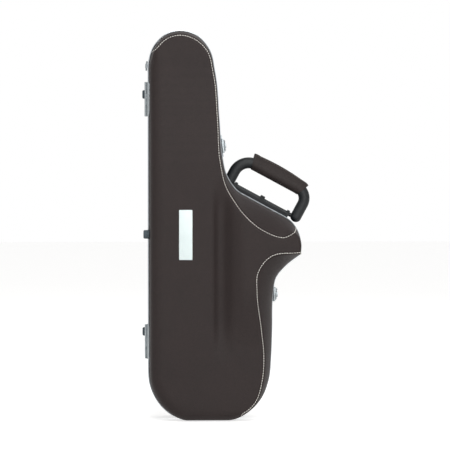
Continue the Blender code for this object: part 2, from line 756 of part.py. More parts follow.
def make_foot(name, share, side):
    """A rubber bumper with its screw sunk in its face."""
    frame = shifted(rim_frame(share, FOOT_RADIUS, right=False), 0, side * FOOT_DEPTH, -VALANCE_PROUD)
    bore = FOOT_SCREW_RADIUS + FIT_GAP
    floor = FOOT_HEIGHT - FOOT_SCREW_DEPTH
    top = FOOT_RADIUS * FOOT_TAPER_SHARE
    profile = [(0, FIT_GAP), (FOOT_RADIUS, FIT_GAP), (top, FOOT_HEIGHT - FOOT_ROUND)]
    profile += [(top - FOOT_ROUND, FOOT_HEIGHT), (bore, FOOT_HEIGHT), (bore, floor), (0, floor)]
    finish_object(name, turned(profile), RUBBER, frame)
    crown = floor + FOOT_SCREW_DEPTH / 2
    head = [(0, floor + FIT_GAP), (FOOT_SCREW_RADIUS, floor + FIT_GAP)]
    head += [(FOOT_SCREW_RADIUS * ROUND_SHARE, crown), (0, crown)]
    finish_object(name + "_screw", turned(head), STEEL, frame)


def make_latch(name, share, length):
    """A draw latch: plate with ears, lever, claw and their pins on the base, and a keeper on the lid."""
    frame = rim_frame(share, length / 2)
    pivot = shifted(frame, 0, LATCH_PIVOT_DEPTH, LATCH_PIVOT_HEIGHT)
    plate_top = FIT_GAP + LATCH_PLATE
    half = length / 2
    inner = LEVER_WIDTH / 2 + FIT_GAP
    outer = inner + EAR_THICKNESS
    eye = LATCH_PIN_RADIUS + FIT_GAP + EYE_WALL
    hole = LATCH_PIN_RADIUS + FIT_GAP
    plate = box((-half, half), (PLATE_EDGE, LATCH_PLATE_DEPTH), (FIT_GAP, plate_top))
    plate = finish_object(name + "_base", plate, NICKEL, frame)
    root = FIT_GAP - LATCH_PIVOT_HEIGHT
    ear = [(-eye, root), (eye, root)] + circle_points(eye, (0, 0), 8, 0, math.pi)
    combine(plate, finish_object(name + "_ears", prism(ear, -outer, outer), NICKEL, pivot), "UNION")
    room = box((-inner, inner), (-2 * eye, 2 * eye), (plate_top - LATCH_PIVOT_HEIGHT, 2 * eye))
    combine(plate, finish_object(name + "_ear_room", room, STEEL, pivot), "DIFFERENCE")
    bore = drum(hole, -2 * outer, 2 * outer)
    combine(plate, finish_object(name + "_ear_bore", bore, STEEL, pivot), "DIFFERENCE")
    pin = drum(LATCH_PIN_RADIUS, -outer - FIT_GAP, outer + FIT_GAP)
    finish_object(name + "_lever_pin", pin, STEEL, pivot)

    width = LEVER_WIDTH / 2
    top = CLAW_LIFT + CLAW_SHEET + CLAW_HEADROOM
    bend = LEVER_LENGTH - LEVER_SHEET
    cheek = [(0, -eye), (bend, -eye), (LEVER_LENGTH, 0), (LEVER_LENGTH, top - LEVER_SHEET)]
    cheek += [(bend, top), (0, top)]
    cheek += circle_points(eye, (0, 0), 6, math.pi * 5 / 8, math.pi * 6 / 8)
    lever = finish_object(name + "_lever", prism(cheek, -width, width), NICKEL, pivot)
    inside_x = (LEVER_SHEET - width, width - LEVER_SHEET)
    pad = CLAW_THROW + LEVER_WINDOW
    window = box(inside_x, (-3 * eye, pad), (-3 * eye, 3 * eye))
    combine(lever, finish_object(name + "_lever_window", window, STEEL, pivot), "DIFFERENCE")
    hollow = box(inside_x, (pad - CUT_OVERRUN, bend), (-3 * eye, top - LEVER_SHEET))
    combine(lever, finish_object(name + "_lever_hollow", hollow, STEEL, pivot), "DIFFERENCE")
    joint = shifted(pivot, 0, CLAW_THROW, CLAW_OFFSET)
    for label, place in (("_pivot_bore", pivot), ("_claw_bore", joint)):
        bore = drum(hole, -2 * width, 2 * width)
        combine(lever, finish_object(name + label, bore, STEEL, place), "DIFFERENCE")
    finish_object(name + "_claw_pin", drum(LATCH_PIN_RADIUS, FIT_GAP - width, width - FIT_GAP), STEEL, joint)

    under = CLAW_LIFT - CLAW_OFFSET
    over = under + CLAW_SHEET
    reach = -(CLAW_THROW + LATCH_PIVOT_DEPTH + KEEPER_HOOK_DEPTH)
    lip = KEEPER_TOP + FIT_GAP - LATCH_PIVOT_HEIGHT - CLAW_OFFSET
    rise = math.asin(under / eye)
    hook = [(reach + CLAW_SHEET, lip), (reach + CLAW_SHEET, under)]
    hook += circle_points(eye, (0, 0), 12, math.pi - rise, 1.5 * math.pi + rise)
    hook += [(0, over), (reach + CLAW_SHEET / 2, over), (reach, over - CLAW_SHEET / 2), (reach, lip)]
    claw = finish_object(name + "_claw", prism(hook, -CLAW_WIDTH / 2, CLAW_WIDTH / 2), NICKEL, joint)
    bore = drum(hole, -CLAW_WIDTH, CLAW_WIDTH)
    combine(claw, finish_object(name + "_claw_eye", bore, STEEL, joint), "DIFFERENCE")

    near = -KEEPER_HOOK_DEPTH + CLAW_SHEET + FIT_GAP
    far = near + LATCH_PLATE
    keeper = [(-PLATE_EDGE, FIT_GAP), (-PLATE_EDGE, plate_top), (far, plate_top), (far, KEEPER_TOP),
              (near, KEEPER_TOP), (near, plate_top), (-FLANGE_WIDTH, plate_top), (-FLANGE_WIDTH, FIT_GAP)]
    finish_object(name + "_keeper", prism(keeper, -KEEPER_LENGTH / 2, KEEPER_LENGTH / 2), NICKEL, frame)


def handle_frame():
    rim = [placed_point(row[0], row[1]) for row in OUTLINE_SHARES]
    lower, upper = rim[HANDLE_ROWS[0]], rim[HANDLE_ROWS[1]]
    along = (lower - upper).normalized()
    outward = Vector((-along.y, along.x))
    share = (HANDLE_CENTRE_SHARE * CASE_HEIGHT - lower.y) / (upper.y - lower.y)
    return fitting_frame(lower.lerp(upper, share), outward)


def loop_path(length_below, length_above):
    """Centre line of the handle: up one leg, round two corners and down the other."""
    half, rise, corner = LOOP_SPAN / 2, LOOP_RISE, LOOP_CORNER
    leg = [(-half, -length_below), (-half, 0), (-half, length_above)]
    arc = [(-half + corner + corner * math.cos(a), rise - corner + corner * math.sin(a))
           for a in [math.pi - step * math.pi / 10 for step in range(6)]]
    left = leg + arc
    right = [(-x, z) for x, z in reversed(left)]
    return [Vector((x, 0, z)) for x, z in left + right]


def make_handle():
    """Moulded bracket with a rod, a clip over the rod, the swinging loop and its leather grip."""
    frame = handle_frame()
    front = FLANGE_WIDTH + 3 * FIT_GAP + RECESS_SLOPE
    depth = (front, front + HANDLE_BRACKET_DEPTH)
    middle = sum(depth) / 2
    seat = FIT_GAP - VALANCE_PROUD - HANDLE_RECESS
    half = HANDLE_LENGTH / 2
    bore_radius = ROD_RADIUS + FIT_GAP
    eye = bore_radius + EAR_WALL
    step = seat + BRACKET_STEP
    foot_x = (-BRACKET_FOOT_SHARES[0] * half, BRACKET_FOOT_SHARES[1] * half)
    bracket = finish_object("handle_bracket", box(foot_x, depth, (seat, step)), BLACK_PLASTIC, frame)
    rail_top = ROD_HEIGHT - bore_radius - FIT_GAP
    rail = box((-half, half), (middle - eye, middle + eye), (step - FIT_GAP, rail_top))
    combine(bracket, finish_object("bracket_rail", rail, BLACK_PLASTIC, frame), "UNION")
    rod_place = shifted(frame, 0, middle, ROD_HEIGHT)
    for label, start in (("left", -half), ("right", half - EAR_LENGTH)):
        ear = [(-eye, -eye), (eye, -eye)] + circle_points(eye, (0, 0), 8, 0, math.pi)
        ear = prism(ear, start, start + EAR_LENGTH)
        combine(bracket, finish_object(f"bracket_{label}_ear", ear, BLACK_PLASTIC, rod_place), "UNION")
    reach = LOOP_SPAN / 2 + LOOP_FOOT_RADIUS - FIT_GAP
    bore = drum(bore_radius, -2 * reach, 2 * reach, steps=16)
    bore = finish_object("rod_bore", bore, STEEL, rod_place)
    combine(bracket, bore, "DIFFERENCE")
    finish_object("handle_rod", drum(ROD_RADIUS, -reach, reach, steps=16), STEEL, rod_place)
    saddle = circle_points(bore_radius + CLIP_WALL, (0, 0), 8, 0, math.pi)
    saddle += circle_points(bore_radius, (0, 0), 8, 0, math.pi)[::-1]
    finish_object("handle_clip", prism(saddle, -CLIP_LENGTH / 2, CLIP_LENGTH / 2), BLACK_PLASTIC, rod_place)

    path = loop_path(LOOP_FOOT_BELOW, eye)
    foot = [LOOP_FOOT_RADIUS * LOOP_FOOT_END_SHARE, LOOP_FOOT_RADIUS, LOOP_FOOT_RADIUS]
    thick = foot + [LOOP_RADIUS] * (len(path) - 2 * len(foot)) + foot[::-1]
    loop_mesh, _ = swept(path, [(radius, radius * LOOP_FLATNESS_SHARE) for radius in thick])
    loop = finish_object("handle_loop", loop_mesh, BLACK_PLASTIC, rod_place)
    combine(loop, bore, "DIFFERENCE")

    stretch = [index for index, p in enumerate(path) if abs(p.x) <= GRIP_LENGTH / 2 and p.z > LOOP_RISE / 2]
    clear = LOOP_RADIUS + FIT_GAP
    outer = clear + GRIP_THICKNESS
    grip, outside = swept(path, [(outer, outer * LOOP_FLATNESS_SHARE)] * len(path), stretch)
    bore_mesh, bore_rings = swept(path, [(clear, clear * LOOP_FLATNESS_SHARE + FIT_GAP)] * len(path), stretch)
    inside_rings = [[grip.verts.new(vertex.co) for vertex in ring] for ring in bore_rings]
    bore_mesh.free()
    for lower, upper in zip(inside_rings, inside_rings[1:]):
        bridge(grip, lower, upper)
    bridge(grip, outside[0], inside_rings[0])
    bridge(grip, outside[-1], inside_rings[-1])
    finish_object("handle_grip", grip, LEATHER, rod_place)


def make_strap_ring(name, frame):
    """A D-ring in a bridge on a small plate."""
    middle = STRAP_PLATE_DEPTH / 2
    seat = FIT_GAP - VALANCE_PROUD
    half = STRAP_PLATE_LENGTH / 2
    top = seat + STRAP_PLATE
    axis = top + FIT_GAP + RING_WIRE_RADIUS + RING_CLEARANCE
    eye = RING_WIRE_RADIUS + FIT_GAP + STRAP_PLATE / 2
    plate = finish_object(name + "_plate", box((-half, half), (-middle, middle), (seat, top)), NICKEL, frame)
    pivot = shifted(frame, 0, 0, axis)
    foot = seat - axis + FIT_GAP
    hump = [(-eye, foot), (eye, foot)] + circle_points(eye, (0, 0), 8, 0, math.pi)
    quarter = RING_WIDTH / 4
    combine(plate, finish_object(name + "_bridge", prism(hump, -quarter, quarter), NICKEL, pivot), "UNION")
    bore = drum(RING_WIRE_RADIUS + FIT_GAP, -RING_WIDTH, RING_WIDTH)
    combine(plate, finish_object(name + "_bore", bore, STEEL, pivot), "DIFFERENCE")
    wide = RING_WIDTH / 2
    path = [Vector((-wide, 0, 0)), Vector((0, 0, 0)), Vector((wide, 0, 0)), Vector((wide, 0, RING_REACH / 2))]
    path += [Vector((wide * math.cos(a), 0, RING_REACH / 2 * (1 + math.sin(a))))
             for a in [step * math.pi / 6 for step in range(1, 6)]]
    path.append(Vector((-wide, 0, RING_REACH / 2)))
    ring = bmesh.new()
    rings = []
    for index, point in enumerate(path):
        along = (path[(index + 1) % len(path)] - path[index - 1]).normalized()
        side = Vector((along.z, 0, -along.x))
        rings.append([ring.verts.new(point + side * u + Vector((0, v, 0)))
                      for u, v in circle_points(RING_WIRE_RADIUS, steps=8)])
    for index, current in enumerate(rings):
        bridge(ring, rings[index - 1], current)
    bmesh.ops.transform(ring, matrix=Matrix.Rotation(-math.pi / 2, 4, "X"), verts=ring.verts[:])
    finish_object(name, ring, NICKEL, pivot)


def make_name_plate(lid):
    """A bare plate let into the lid's face."""
    centre = placed_point(*PLATE_CENTRE_SHARES)
    frame = Matrix.Translation((centre.x, at_depth(LID, LID_DEPTH), centre.y))
    wide, high = PLATE_WIDTH / 2, PLATE_HEIGHT / 2
    plate = box((-wide, wide), (PLATE_SEAT - PLATE_THICKNESS, PLATE_SEAT), (-high, high))
    finish_object("name_plate", plate, WHITE_METAL, frame)
    wide, high = wide + FIT_GAP, high + FIT_GAP
    seat = box((-wide, wide), (-CUT_OVERRUN, PLATE_SEAT + FIT_GAP), (-high, high))
    combine(lid, finish_object("plate_seat", seat, STEEL, frame), "DIFFERENCE")


def make_divider(liner):
    """A padded board that stands in a slot of the base's padding, between the two pockets."""
    centre = placed_point(*DIVIDER_CENTRE_SHARES)
    frame = Matrix.Translation((centre.x, PARTING, centre.y))
    wide, thick = DIVIDER_WIDTH / 2, DIVIDER_THICKNESS / 2
    board = box((-wide, wide), (-DIVIDER_PROUD, DIVIDER_HEIGHT - DIVIDER_PROUD), (-thick, thick))
    finish_object("neck_divider", board, PLUSH, frame)
    wide, thick = wide + FIT_GAP, thick + FIT_GAP
    slot = box((-wide, wide), (-CUT_OVERRUN, DIVIDER_HEIGHT - DIVIDER_PROUD + FIT_GAP), (-thick, thick))
    combine(liner, finish_object("divider_slot", slot, STEEL, frame), "DIFFERENCE")


def make_case():
    clear_scene()
    make_shell("base_shell", BASE)
    lid = make_shell("lid_shell", LID)
    make_valance("base_valance", BASE)
    make_valance("lid_valance", LID)
    make_divider(make_liner("base_liner", BASE))
    make_liner("lid_liner", LID)
    make_name_plate(lid)
    make_hinge("upper_hinge", UPPER_HINGE_SHARE)
    make_hinge("lower_hinge", LOWER_HINGE_SHARE)
    make_foot("upper_base_foot", UPPER_FOOT_SHARE, BASE)
    make_foot("lower_base_foot", LOWER_FOOT_SHARE, BASE)
    make_foot("lid_foot", LID_FOOT_SHARE, LID)
    make_latch("upper_latch", UPPER_LATCH_SHARE, UPPER_LATCH_LENGTH)
    make_latch("lower_latch", LOWER_LATCH_SHARE, LOWER_LATCH_LENGTH)
    make_handle()
    upper = rim_frame(UPPER_RING_SHARE, STRAP_PLATE_LENGTH / 2, right=False)
    make_strap_ring("upper_strap_ring", shifted(upper, 0, UPPER_RING_DEPTH))
    lower = Matrix(((1, 0, 0, 0), (0, 0, 1, 0), (0, -1, 0, 0), (0, 0, 0, 1)))
    back = at_depth(BASE, BASE_DEPTH) + VALANCE_PROUD
    place = placed_point(*LOWER_RING_SHARES)
    lower.translation = (place.x, back, place.y)
    make_strap_ring("lower_strap_ring", lower)


make_case()
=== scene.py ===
"""Alto saxophone case, dressed: leather over two contoured shells, stitched seams, aluminium edge."""

import json
import math

import bmesh
import bpy
import numpy as np
from mathutils import Matrix, Vector
from mathutils.geometry import delaunay_2d_cdt, interpolate_bezier

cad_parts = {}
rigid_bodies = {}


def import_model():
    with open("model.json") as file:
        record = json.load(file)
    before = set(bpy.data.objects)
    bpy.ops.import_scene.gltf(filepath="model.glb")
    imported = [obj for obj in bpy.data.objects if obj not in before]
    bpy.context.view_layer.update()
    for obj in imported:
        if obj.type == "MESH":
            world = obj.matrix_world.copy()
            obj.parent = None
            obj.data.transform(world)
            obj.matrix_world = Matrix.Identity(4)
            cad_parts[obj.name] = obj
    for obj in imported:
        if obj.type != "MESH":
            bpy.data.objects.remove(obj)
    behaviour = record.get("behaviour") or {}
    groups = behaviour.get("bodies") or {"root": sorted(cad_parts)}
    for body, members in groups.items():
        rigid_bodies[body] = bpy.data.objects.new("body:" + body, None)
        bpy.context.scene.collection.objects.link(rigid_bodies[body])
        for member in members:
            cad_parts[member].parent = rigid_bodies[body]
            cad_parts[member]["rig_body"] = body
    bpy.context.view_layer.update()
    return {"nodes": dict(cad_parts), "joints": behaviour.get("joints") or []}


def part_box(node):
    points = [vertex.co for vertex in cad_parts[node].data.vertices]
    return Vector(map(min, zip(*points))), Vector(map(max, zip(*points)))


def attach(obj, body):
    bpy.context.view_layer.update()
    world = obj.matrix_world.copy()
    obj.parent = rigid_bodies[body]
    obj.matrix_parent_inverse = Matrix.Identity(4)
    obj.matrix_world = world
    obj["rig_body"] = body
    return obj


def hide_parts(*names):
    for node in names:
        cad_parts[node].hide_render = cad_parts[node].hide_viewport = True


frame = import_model()

# Studio
# A white paper floor: the case stands on its heel in soft light from large overhead and front panels.
# The paper shows white to the camera and in reflections, and keeps the shadow of the case.
PAPER_HEX = "f4f3f1"
PAPER_HALF_WIDTH = 9
PAPER_LIFT = 0.68
AIR_STRENGTH = 0.28
FRAME_PIXELS = 450
PIXEL = 0.0017
HEEL_PIXEL = (205.7, 418.9)
AIM_DEPTH = -0.005
CAMERA_DISTANCE = 5.2
CAMERA_TURN = math.radians(3.2)
CAMERA_RISE = math.radians(1.6)
SENSOR_WIDTH = 36
CAMERA_REACH = 50
# Place, width in metres and power in watts of each round lamp panel
LAMPS = {"overhead_panel": ((0.1, -2.0, 2.6), 1.6, 36),
         "front_panel": ((0.7, -3.2, 1.0), 1.4, 34),
         "side_panel": ((-2.2, -1.8, 1.4), 1.0, 2),
         "back_panel": ((1.2, 2.0, 2.2), 1.4, 12)}


def tone(code):
    """Linear colour of an sRGB hex value."""
    parts = [int(code[index:index + 2], 16) / 255 for index in (0, 2, 4)]
    linear = [part / 12.92 if part <= 0.04045 else ((part + 0.055) / 1.055) ** 2.4 for part in parts]
    return (*linear, 1.0)


def add(tree, kind, values=None, links=None, **settings):
    """Adds a node with its settings, the values of its sockets and the links into them."""
    made = tree.nodes.new(kind)
    for name, value in settings.items():
        setattr(made, name, value)
    for name, value in (values or {}).items():
        made.inputs[name].default_value = value
    for name, source in (links or {}).items():
        tree.links.new(source, made.inputs[name])
    return made


def new_material(name, **values):
    """A material with a Principled shader whose sockets hold the values."""
    material = bpy.data.materials.new(name)
    material.use_nodes = True
    shader = material.node_tree.nodes["Principled BSDF"]
    for label, value in values.items():
        shader.inputs[label.replace("_", " ")].default_value = value
    return material, material.node_tree, shader


def new_piece(name, mesh, material, smooth_angle=None):
    """An object from a mesh, linked to the scene, with its material."""
    piece = bpy.data.objects.new(name, mesh)
    bpy.context.scene.collection.objects.link(piece)
    mesh.materials.clear()
    mesh.materials.append(material)
    if smooth_angle is not None:
        mesh.shade_smooth()
        mesh.set_sharp_from_angle(angle=math.radians(smooth_angle))
    return piece


def as_mesh(name, shape, outward=True):
    """A mesh from a finished shape, whose faces are turned outward unless they already are."""
    if outward:
        bmesh.ops.recalc_face_normals(shape, faces=shape.faces[:])
    mesh = bpy.data.meshes.new(name)
    shape.to_mesh(mesh)
    shape.free()
    return mesh


def seen_directly(tree):
    """One where the camera, a reflection or glass sees a surface, and nothing where it only gives light."""
    rays = add(tree, "ShaderNodeLightPath").outputs
    seen = add(tree, "ShaderNodeMath", links={0: rays["Is Camera Ray"], 1: rays["Is Glossy Ray"]},
               operation="MAXIMUM")
    return add(tree, "ShaderNodeMath", links={0: seen.outputs[0], 1: rays["Is Transmission Ray"]},
               operation="MAXIMUM")


# Uncoated white paper: dull, and lifted by a faint glow so that it comes out as white as in a studio.
paper, tree, shader = new_material("paper_sweep", Roughness=0.9, Specular_IOR_Level=0.1,
                                   Base_Color=tone(PAPER_HEX))
seen = seen_directly(tree)
lift = add(tree, "ShaderNodeMath", {1: PAPER_LIFT}, {0: seen.outputs[0]}, operation="MULTIPLY")
glow = add(tree, "ShaderNodeEmission", {"Color": (1, 1, 1, 1)}, {"Strength": lift.outputs[0]})
both = add(tree, "ShaderNodeAddShader", links={0: shader.outputs[0], 1: glow.outputs[0]})
tree.links.new(both.outputs[0], tree.nodes["Material Output"].inputs["Surface"])

sheet = bmesh.new()
sheet.faces.new([sheet.verts.new((x * PAPER_HALF_WIDTH, y * PAPER_HALF_WIDTH, 0))
                 for x, y in ((-1, -1), (1, -1), (1, 1), (-1, 1))])
new_piece("paper_sweep", as_mesh("paper_sweep", sheet, outward=False), paper)

world = bpy.data.worlds.new("studio_air")
bpy.context.scene.world = world
world.use_nodes = True
tree = world.node_tree
seen = seen_directly(tree)
strength = add(tree, "ShaderNodeMapRange", {"To Min": AIR_STRENGTH, "To Max": 1.0},
               {"Value": seen.outputs[0]})
tree.links.new(strength.outputs[0], tree.nodes["Background"].inputs["Strength"])
tree.nodes["Background"].inputs["Color"].default_value = (1, 1, 1, 1)

AIM = Vector(((FRAME_PIXELS / 2 - HEEL_PIXEL[0]) * PIXEL, AIM_DEPTH,
              (HEEL_PIXEL[1] - FRAME_PIXELS / 2) * PIXEL))
for name, (place, width, power) in LAMPS.items():
    lamp = bpy.data.lights.new(name, "AREA")
    lamp.shape = "DISK"
    lamp.size = width
    lamp.energy = power
    holder = bpy.data.objects.new(name, lamp)
    bpy.context.scene.collection.objects.link(holder)
    holder.location = place
    holder.rotation_euler = (AIM - Vector(place)).to_track_quat("-Z", "Y").to_euler()

camera = bpy.data.objects.new("camera", bpy.data.cameras.new("camera"))
bpy.context.scene.collection.objects.link(camera)
away = Vector((-math.sin(CAMERA_TURN) * math.cos(CAMERA_RISE), -math.cos(CAMERA_TURN) * math.cos(CAMERA_RISE),
               math.sin(CAMERA_RISE)))
camera.location = AIM + away * CAMERA_DISTANCE
camera.rotation_euler = (-away).to_track_quat("-Z", "Y").to_euler()
camera.data.sensor_width = SENSOR_WIDTH
camera.data.lens = SENSOR_WIDTH * CAMERA_DISTANCE / (FRAME_PIXELS * PIXEL)
camera.data.clip_end = CAMERA_REACH
bpy.context.scene.camera = camera
bpy.context.scene.view_settings.view_transform = "Standard"

# Leather shells
# Two moulded shells, each covered in one front or back hide and a side strip of dark brown leather.
# The hides meet in a turned seam along the edge of the face, and wrap over the bell's end in one piece.
CASE_WIDTH = 0.261
CASE_HEIGHT = 0.660
HEEL_SHARE = 0.377
PARTING = -0.0045
SEAT_GAP = 0.0003
EDGE_PROUD = 0.0022
FLANGE = 0.009
WALL_THICKNESS = 0.003
# Way from the parting, depth of the face, its drop at the neck, depth where the side begins to lean in,
# and width of the soft edge where it isn't sewn
SHELLS = {"lid": (-1, 0.066, 0.014, 0.020, 0.020), "base": (1, 0.078, 0.018, 0.036, 0.018)}
# Outline of the rim and of the stitched face edge, as shares of the case's width and height, anticlockwise
# from the heel. The kind says how the line passes the point.
ROUND, STRAIGHT, CORNER = "round", "straight", "corner"
OUTLINE_SHARES = (
    (0.245, 0.000, 0.255, 0.000, STRAIGHT), (0.509, 0.000, 0.509, 0.000, STRAIGHT),
    (0.651, 0.018, 0.611, 0.018, ROUND), (0.741, 0.054, 0.692, 0.050, ROUND),
    (0.787, 0.099, 0.732, 0.100, ROUND), (0.804, 0.162, 0.745, 0.167, ROUND),
    (0.810, 0.228, 0.728, 0.234, ROUND), (0.817, 0.323, 0.697, 0.331, ROUND),
    (0.836, 0.364, 0.702, 0.380, ROUND), (0.893, 0.392, 0.770, 0.417, ROUND),
    (0.996, 0.424, 0.974, 0.430, CORNER), (0.997, 0.458, 0.975, 0.457, ROUND),
    (0.964, 0.495, 0.940, 0.480, ROUND), (0.896, 0.521, 0.862, 0.472, STRAIGHT),
    (0.7505, 0.552, 0.745, 0.487, STRAIGHT), (0.605, 0.583, 0.622, 0.526, STRAIGHT),
    (0.549, 0.605, 0.555, 0.562, ROUND), (0.511, 0.632, 0.503, 0.598, ROUND),
    (0.485, 0.679, 0.465, 0.660, ROUND), (0.467, 0.769, 0.448, 0.769, ROUND),
    (0.439, 0.892, 0.420, 0.892, ROUND), (0.402, 0.951, 0.382, 0.946, ROUND),
    (0.322, 0.987, 0.307, 0.975, ROUND), (0.216, 1.000, 0.217, 0.987, ROUND),
    (0.114, 0.990, 0.126, 0.980, ROUND), (0.036, 0.959, 0.053, 0.954, ROUND),
    (0.003, 0.918, 0.020, 0.916, ROUND), (0.000, 0.887, 0.000, 0.887, STRAIGHT),
    (0.000, 0.146, 0.000, 0.146, STRAIGHT), (0.016, 0.081, 0.026, 0.083, ROUND),
    (0.085, 0.033, 0.094, 0.038, ROUND), (0.166, 0.008, 0.172, 0.013, ROUND),
)
# Rows of the outline where the seam is sewn, where one hide wraps the bell's end, and round the handle
STITCHED_ROWS = (1, 2.5, 25, 26.5)
WRAPPED_ROWS = (10, 10.2, 11.7, 12)
HANDLE_ROWS = (13, 15)
RECESS_ROWS = (12, 13, 17, 18)
HANDLE_RECESS = 0.008
RECESS_SLOPE = 0.005
ROW_STEP = 0.005
ROW_TURN = math.radians(3)
NET_STEP = 0.0045
NET_MARGIN = 0.0027
# Shares of the case's height and width where the face sinks to the neck, rises to the bell's lobe, and is
# pressed in as a valley between body and bell
NECK_DROP_SHARES = (0.62, 0.95)
LOBE_RISE = 0.012
LOBE_HEIGHT_SHARES = (0.18, 0.34, 0.50, 0.62)
LOBE_WIDTH_SHARES = (0.46, 0.62)
VALLEY_DEPTH = 0.007
VALLEY_FLOOR_HALF_WIDTH = 0.0035
VALLEY_BODY_HALF_WIDTH = 0.014
VALLEY_BELL_HALF_WIDTH = 0.022
VALLEY_WIDTH_SHARE = 0.463
VALLEY_HEIGHT_SHARES = (0.15, 0.26, 0.54, 0.62)
# Turned seam: a small round edge, whose groove the stitches lie beside
HEM_DEPTH = 0.0023
SIDE_RINGS = 9
STITCHED_EDGE = 0.005
SEAM_SHARE = 0.62
GROOVE_SHARE = 0.40
GROOVE_DEPTH = 0.0009
GROOVE_RINGS = ((-1, 0.45), (0, 1.0), (1, 0.45))
EDGE_SHARES = (0.10, 0.20, 0.30, 0.36, GROOVE_SHARE, 0.44, 0.52, SEAM_SHARE, 0.72, 0.86, 1.0)
LEATHER_HEX = "281e1d"
LEATHER_DARK_HEX = "1d1615"
GRAIN_WIDTH = 0.0011  # real grain is 0.6 mm wide; drawn coarser so that it shows in the render
PORE_WIDTH = 0.0006
HIDE_PATCH_WIDTH = 0.0714
GRAIN_RELIEF = 0.00012


def placed(x_share, z_share):
    """The place of a share of the case's width and a share of its height."""
    return Vector(((x_share - HEEL_SHARE) * CASE_WIDTH, z_share * CASE_HEIGHT))


def parted(way, depth):
    """The y of a depth into a shell, measured from the parting."""
    return PARTING - (SEAT_GAP if way < 0 else 0) + way * depth


def tangents(points, kinds, index):
    """Directions in which a closed line reaches and leaves a point."""
    reach = points[index] - points[index - 1]
    leave = points[(index + 1) % len(points)] - points[index]
    if kinds[index] == CORNER:
        return reach.normalized(), leave.normalized()
    if kinds[index] == STRAIGHT:
        longest = reach if kinds[index - 1] == STRAIGHT else leave
        return longest.normalized(), longest.normalized()
    mixed = (reach.normalized() * leave.length + leave.normalized() * reach.length).normalized()
    return mixed, mixed


def sampled(lines, kind_lists):
    """Even samples of paired closed lines, finer where the first one turns, and their row numbers."""
    sets = []
    for points, kinds in zip(lines, kind_lists):
        curves = []
        for index, point in enumerate(points):
            end = points[(index + 1) % len(points)]
            reach = (end - point).length / 3
            leave = tangents(points, kinds, index)[1]
            arrive = tangents(points, kinds, (index + 1) % len(points))[0]
            curves.append((point, point + leave * reach, end - arrive * reach, end, leave.angle(arrive)))
        sets.append(curves)
    results = [[] for _ in lines]
    rows = []
    for index, (start, _, _, end, turn) in enumerate(sets[0]):
        steps = max(2, math.ceil(turn / ROW_TURN), math.ceil((end - start).length / ROW_STEP))
        rows += [index + step / steps for step in range(steps)]
        for result, curves in zip(results, sets):
            result += interpolate_bezier(*curves[index][:4], steps + 1)[:-1]
    return [np.array([point[:2] for point in result]) for result in results], np.array(rows)


def inward(points):
    """Mitred normals that point into an anticlockwise line."""
    reach = points - np.roll(points, 1, 0)
    leave = np.roll(points, -1, 0) - points
    reach /= np.linalg.norm(reach, axis=1)[:, None]
    leave /= np.linalg.norm(leave, axis=1)[:, None]
    normal = np.stack((-reach[:, 1] - leave[:, 1], reach[:, 0] + leave[:, 0]), 1)
    normal /= np.linalg.norm(normal, axis=1)[:, None]
    square = -normal[:, 0] * leave[:, 1] + normal[:, 1] * leave[:, 0]
    return normal / np.maximum(square, 0.5)[:, None]


def smooth(value, start, end):
    """Nothing before the start, one after the end, and an even slope between."""
    share = np.clip((value - start) / (end - start), 0, 1)
    return share * share * (3 - 2 * share)


def window(value, limits):
    """One between the inner limits, nothing outside the outer ones, and smooth between."""
    return smooth(value, *limits[:2]) * (1 - smooth(value, *limits[2:]))


def face_depth(side, plan):
    """How far the hide of the face lies from the parting: lid with bell lobe and valley, base plain."""
    way, depth, drop = SHELLS[side][:3]
    x_share = plan[:, 0] / CASE_WIDTH + HEEL_SHARE
    z_share = plan[:, 1] / CASE_HEIGHT
    result = depth - drop * smooth(z_share, *NECK_DROP_SHARES)
    if way < 0:
        lobe = window(z_share, LOBE_HEIGHT_SHARES) * smooth(x_share, *LOBE_WIDTH_SHARES)
        result = result + LOBE_RISE * lobe
        away = plan[:, 0] - placed(VALLEY_WIDTH_SHARE, 0).x
        slope = np.where(away < 0, smooth(-away, VALLEY_FLOOR_HALF_WIDTH, VALLEY_BODY_HALF_WIDTH),
                         smooth(away, VALLEY_FLOOR_HALF_WIDTH, VALLEY_BELL_HALF_WIDTH))
        result = result - VALLEY_DEPTH * window(z_share, VALLEY_HEIGHT_SHARES) * (1 - slope)
    return result


def inside(points, line):
    """Which points lie inside a closed line."""
    hit = np.zeros(len(points), bool)
    for start, end in zip(line, np.roll(line, -1, 0)):
        crosses = (start[1] > points[:, 1]) != (end[1] > points[:, 1])
        slope = (end[0] - start[0]) / (end[1] - start[1] if end[1] != start[1] else 1e-12)
        hit ^= crosses & (points[:, 0] < start[0] + (points[:, 1] - start[1]) * slope)
    return hit


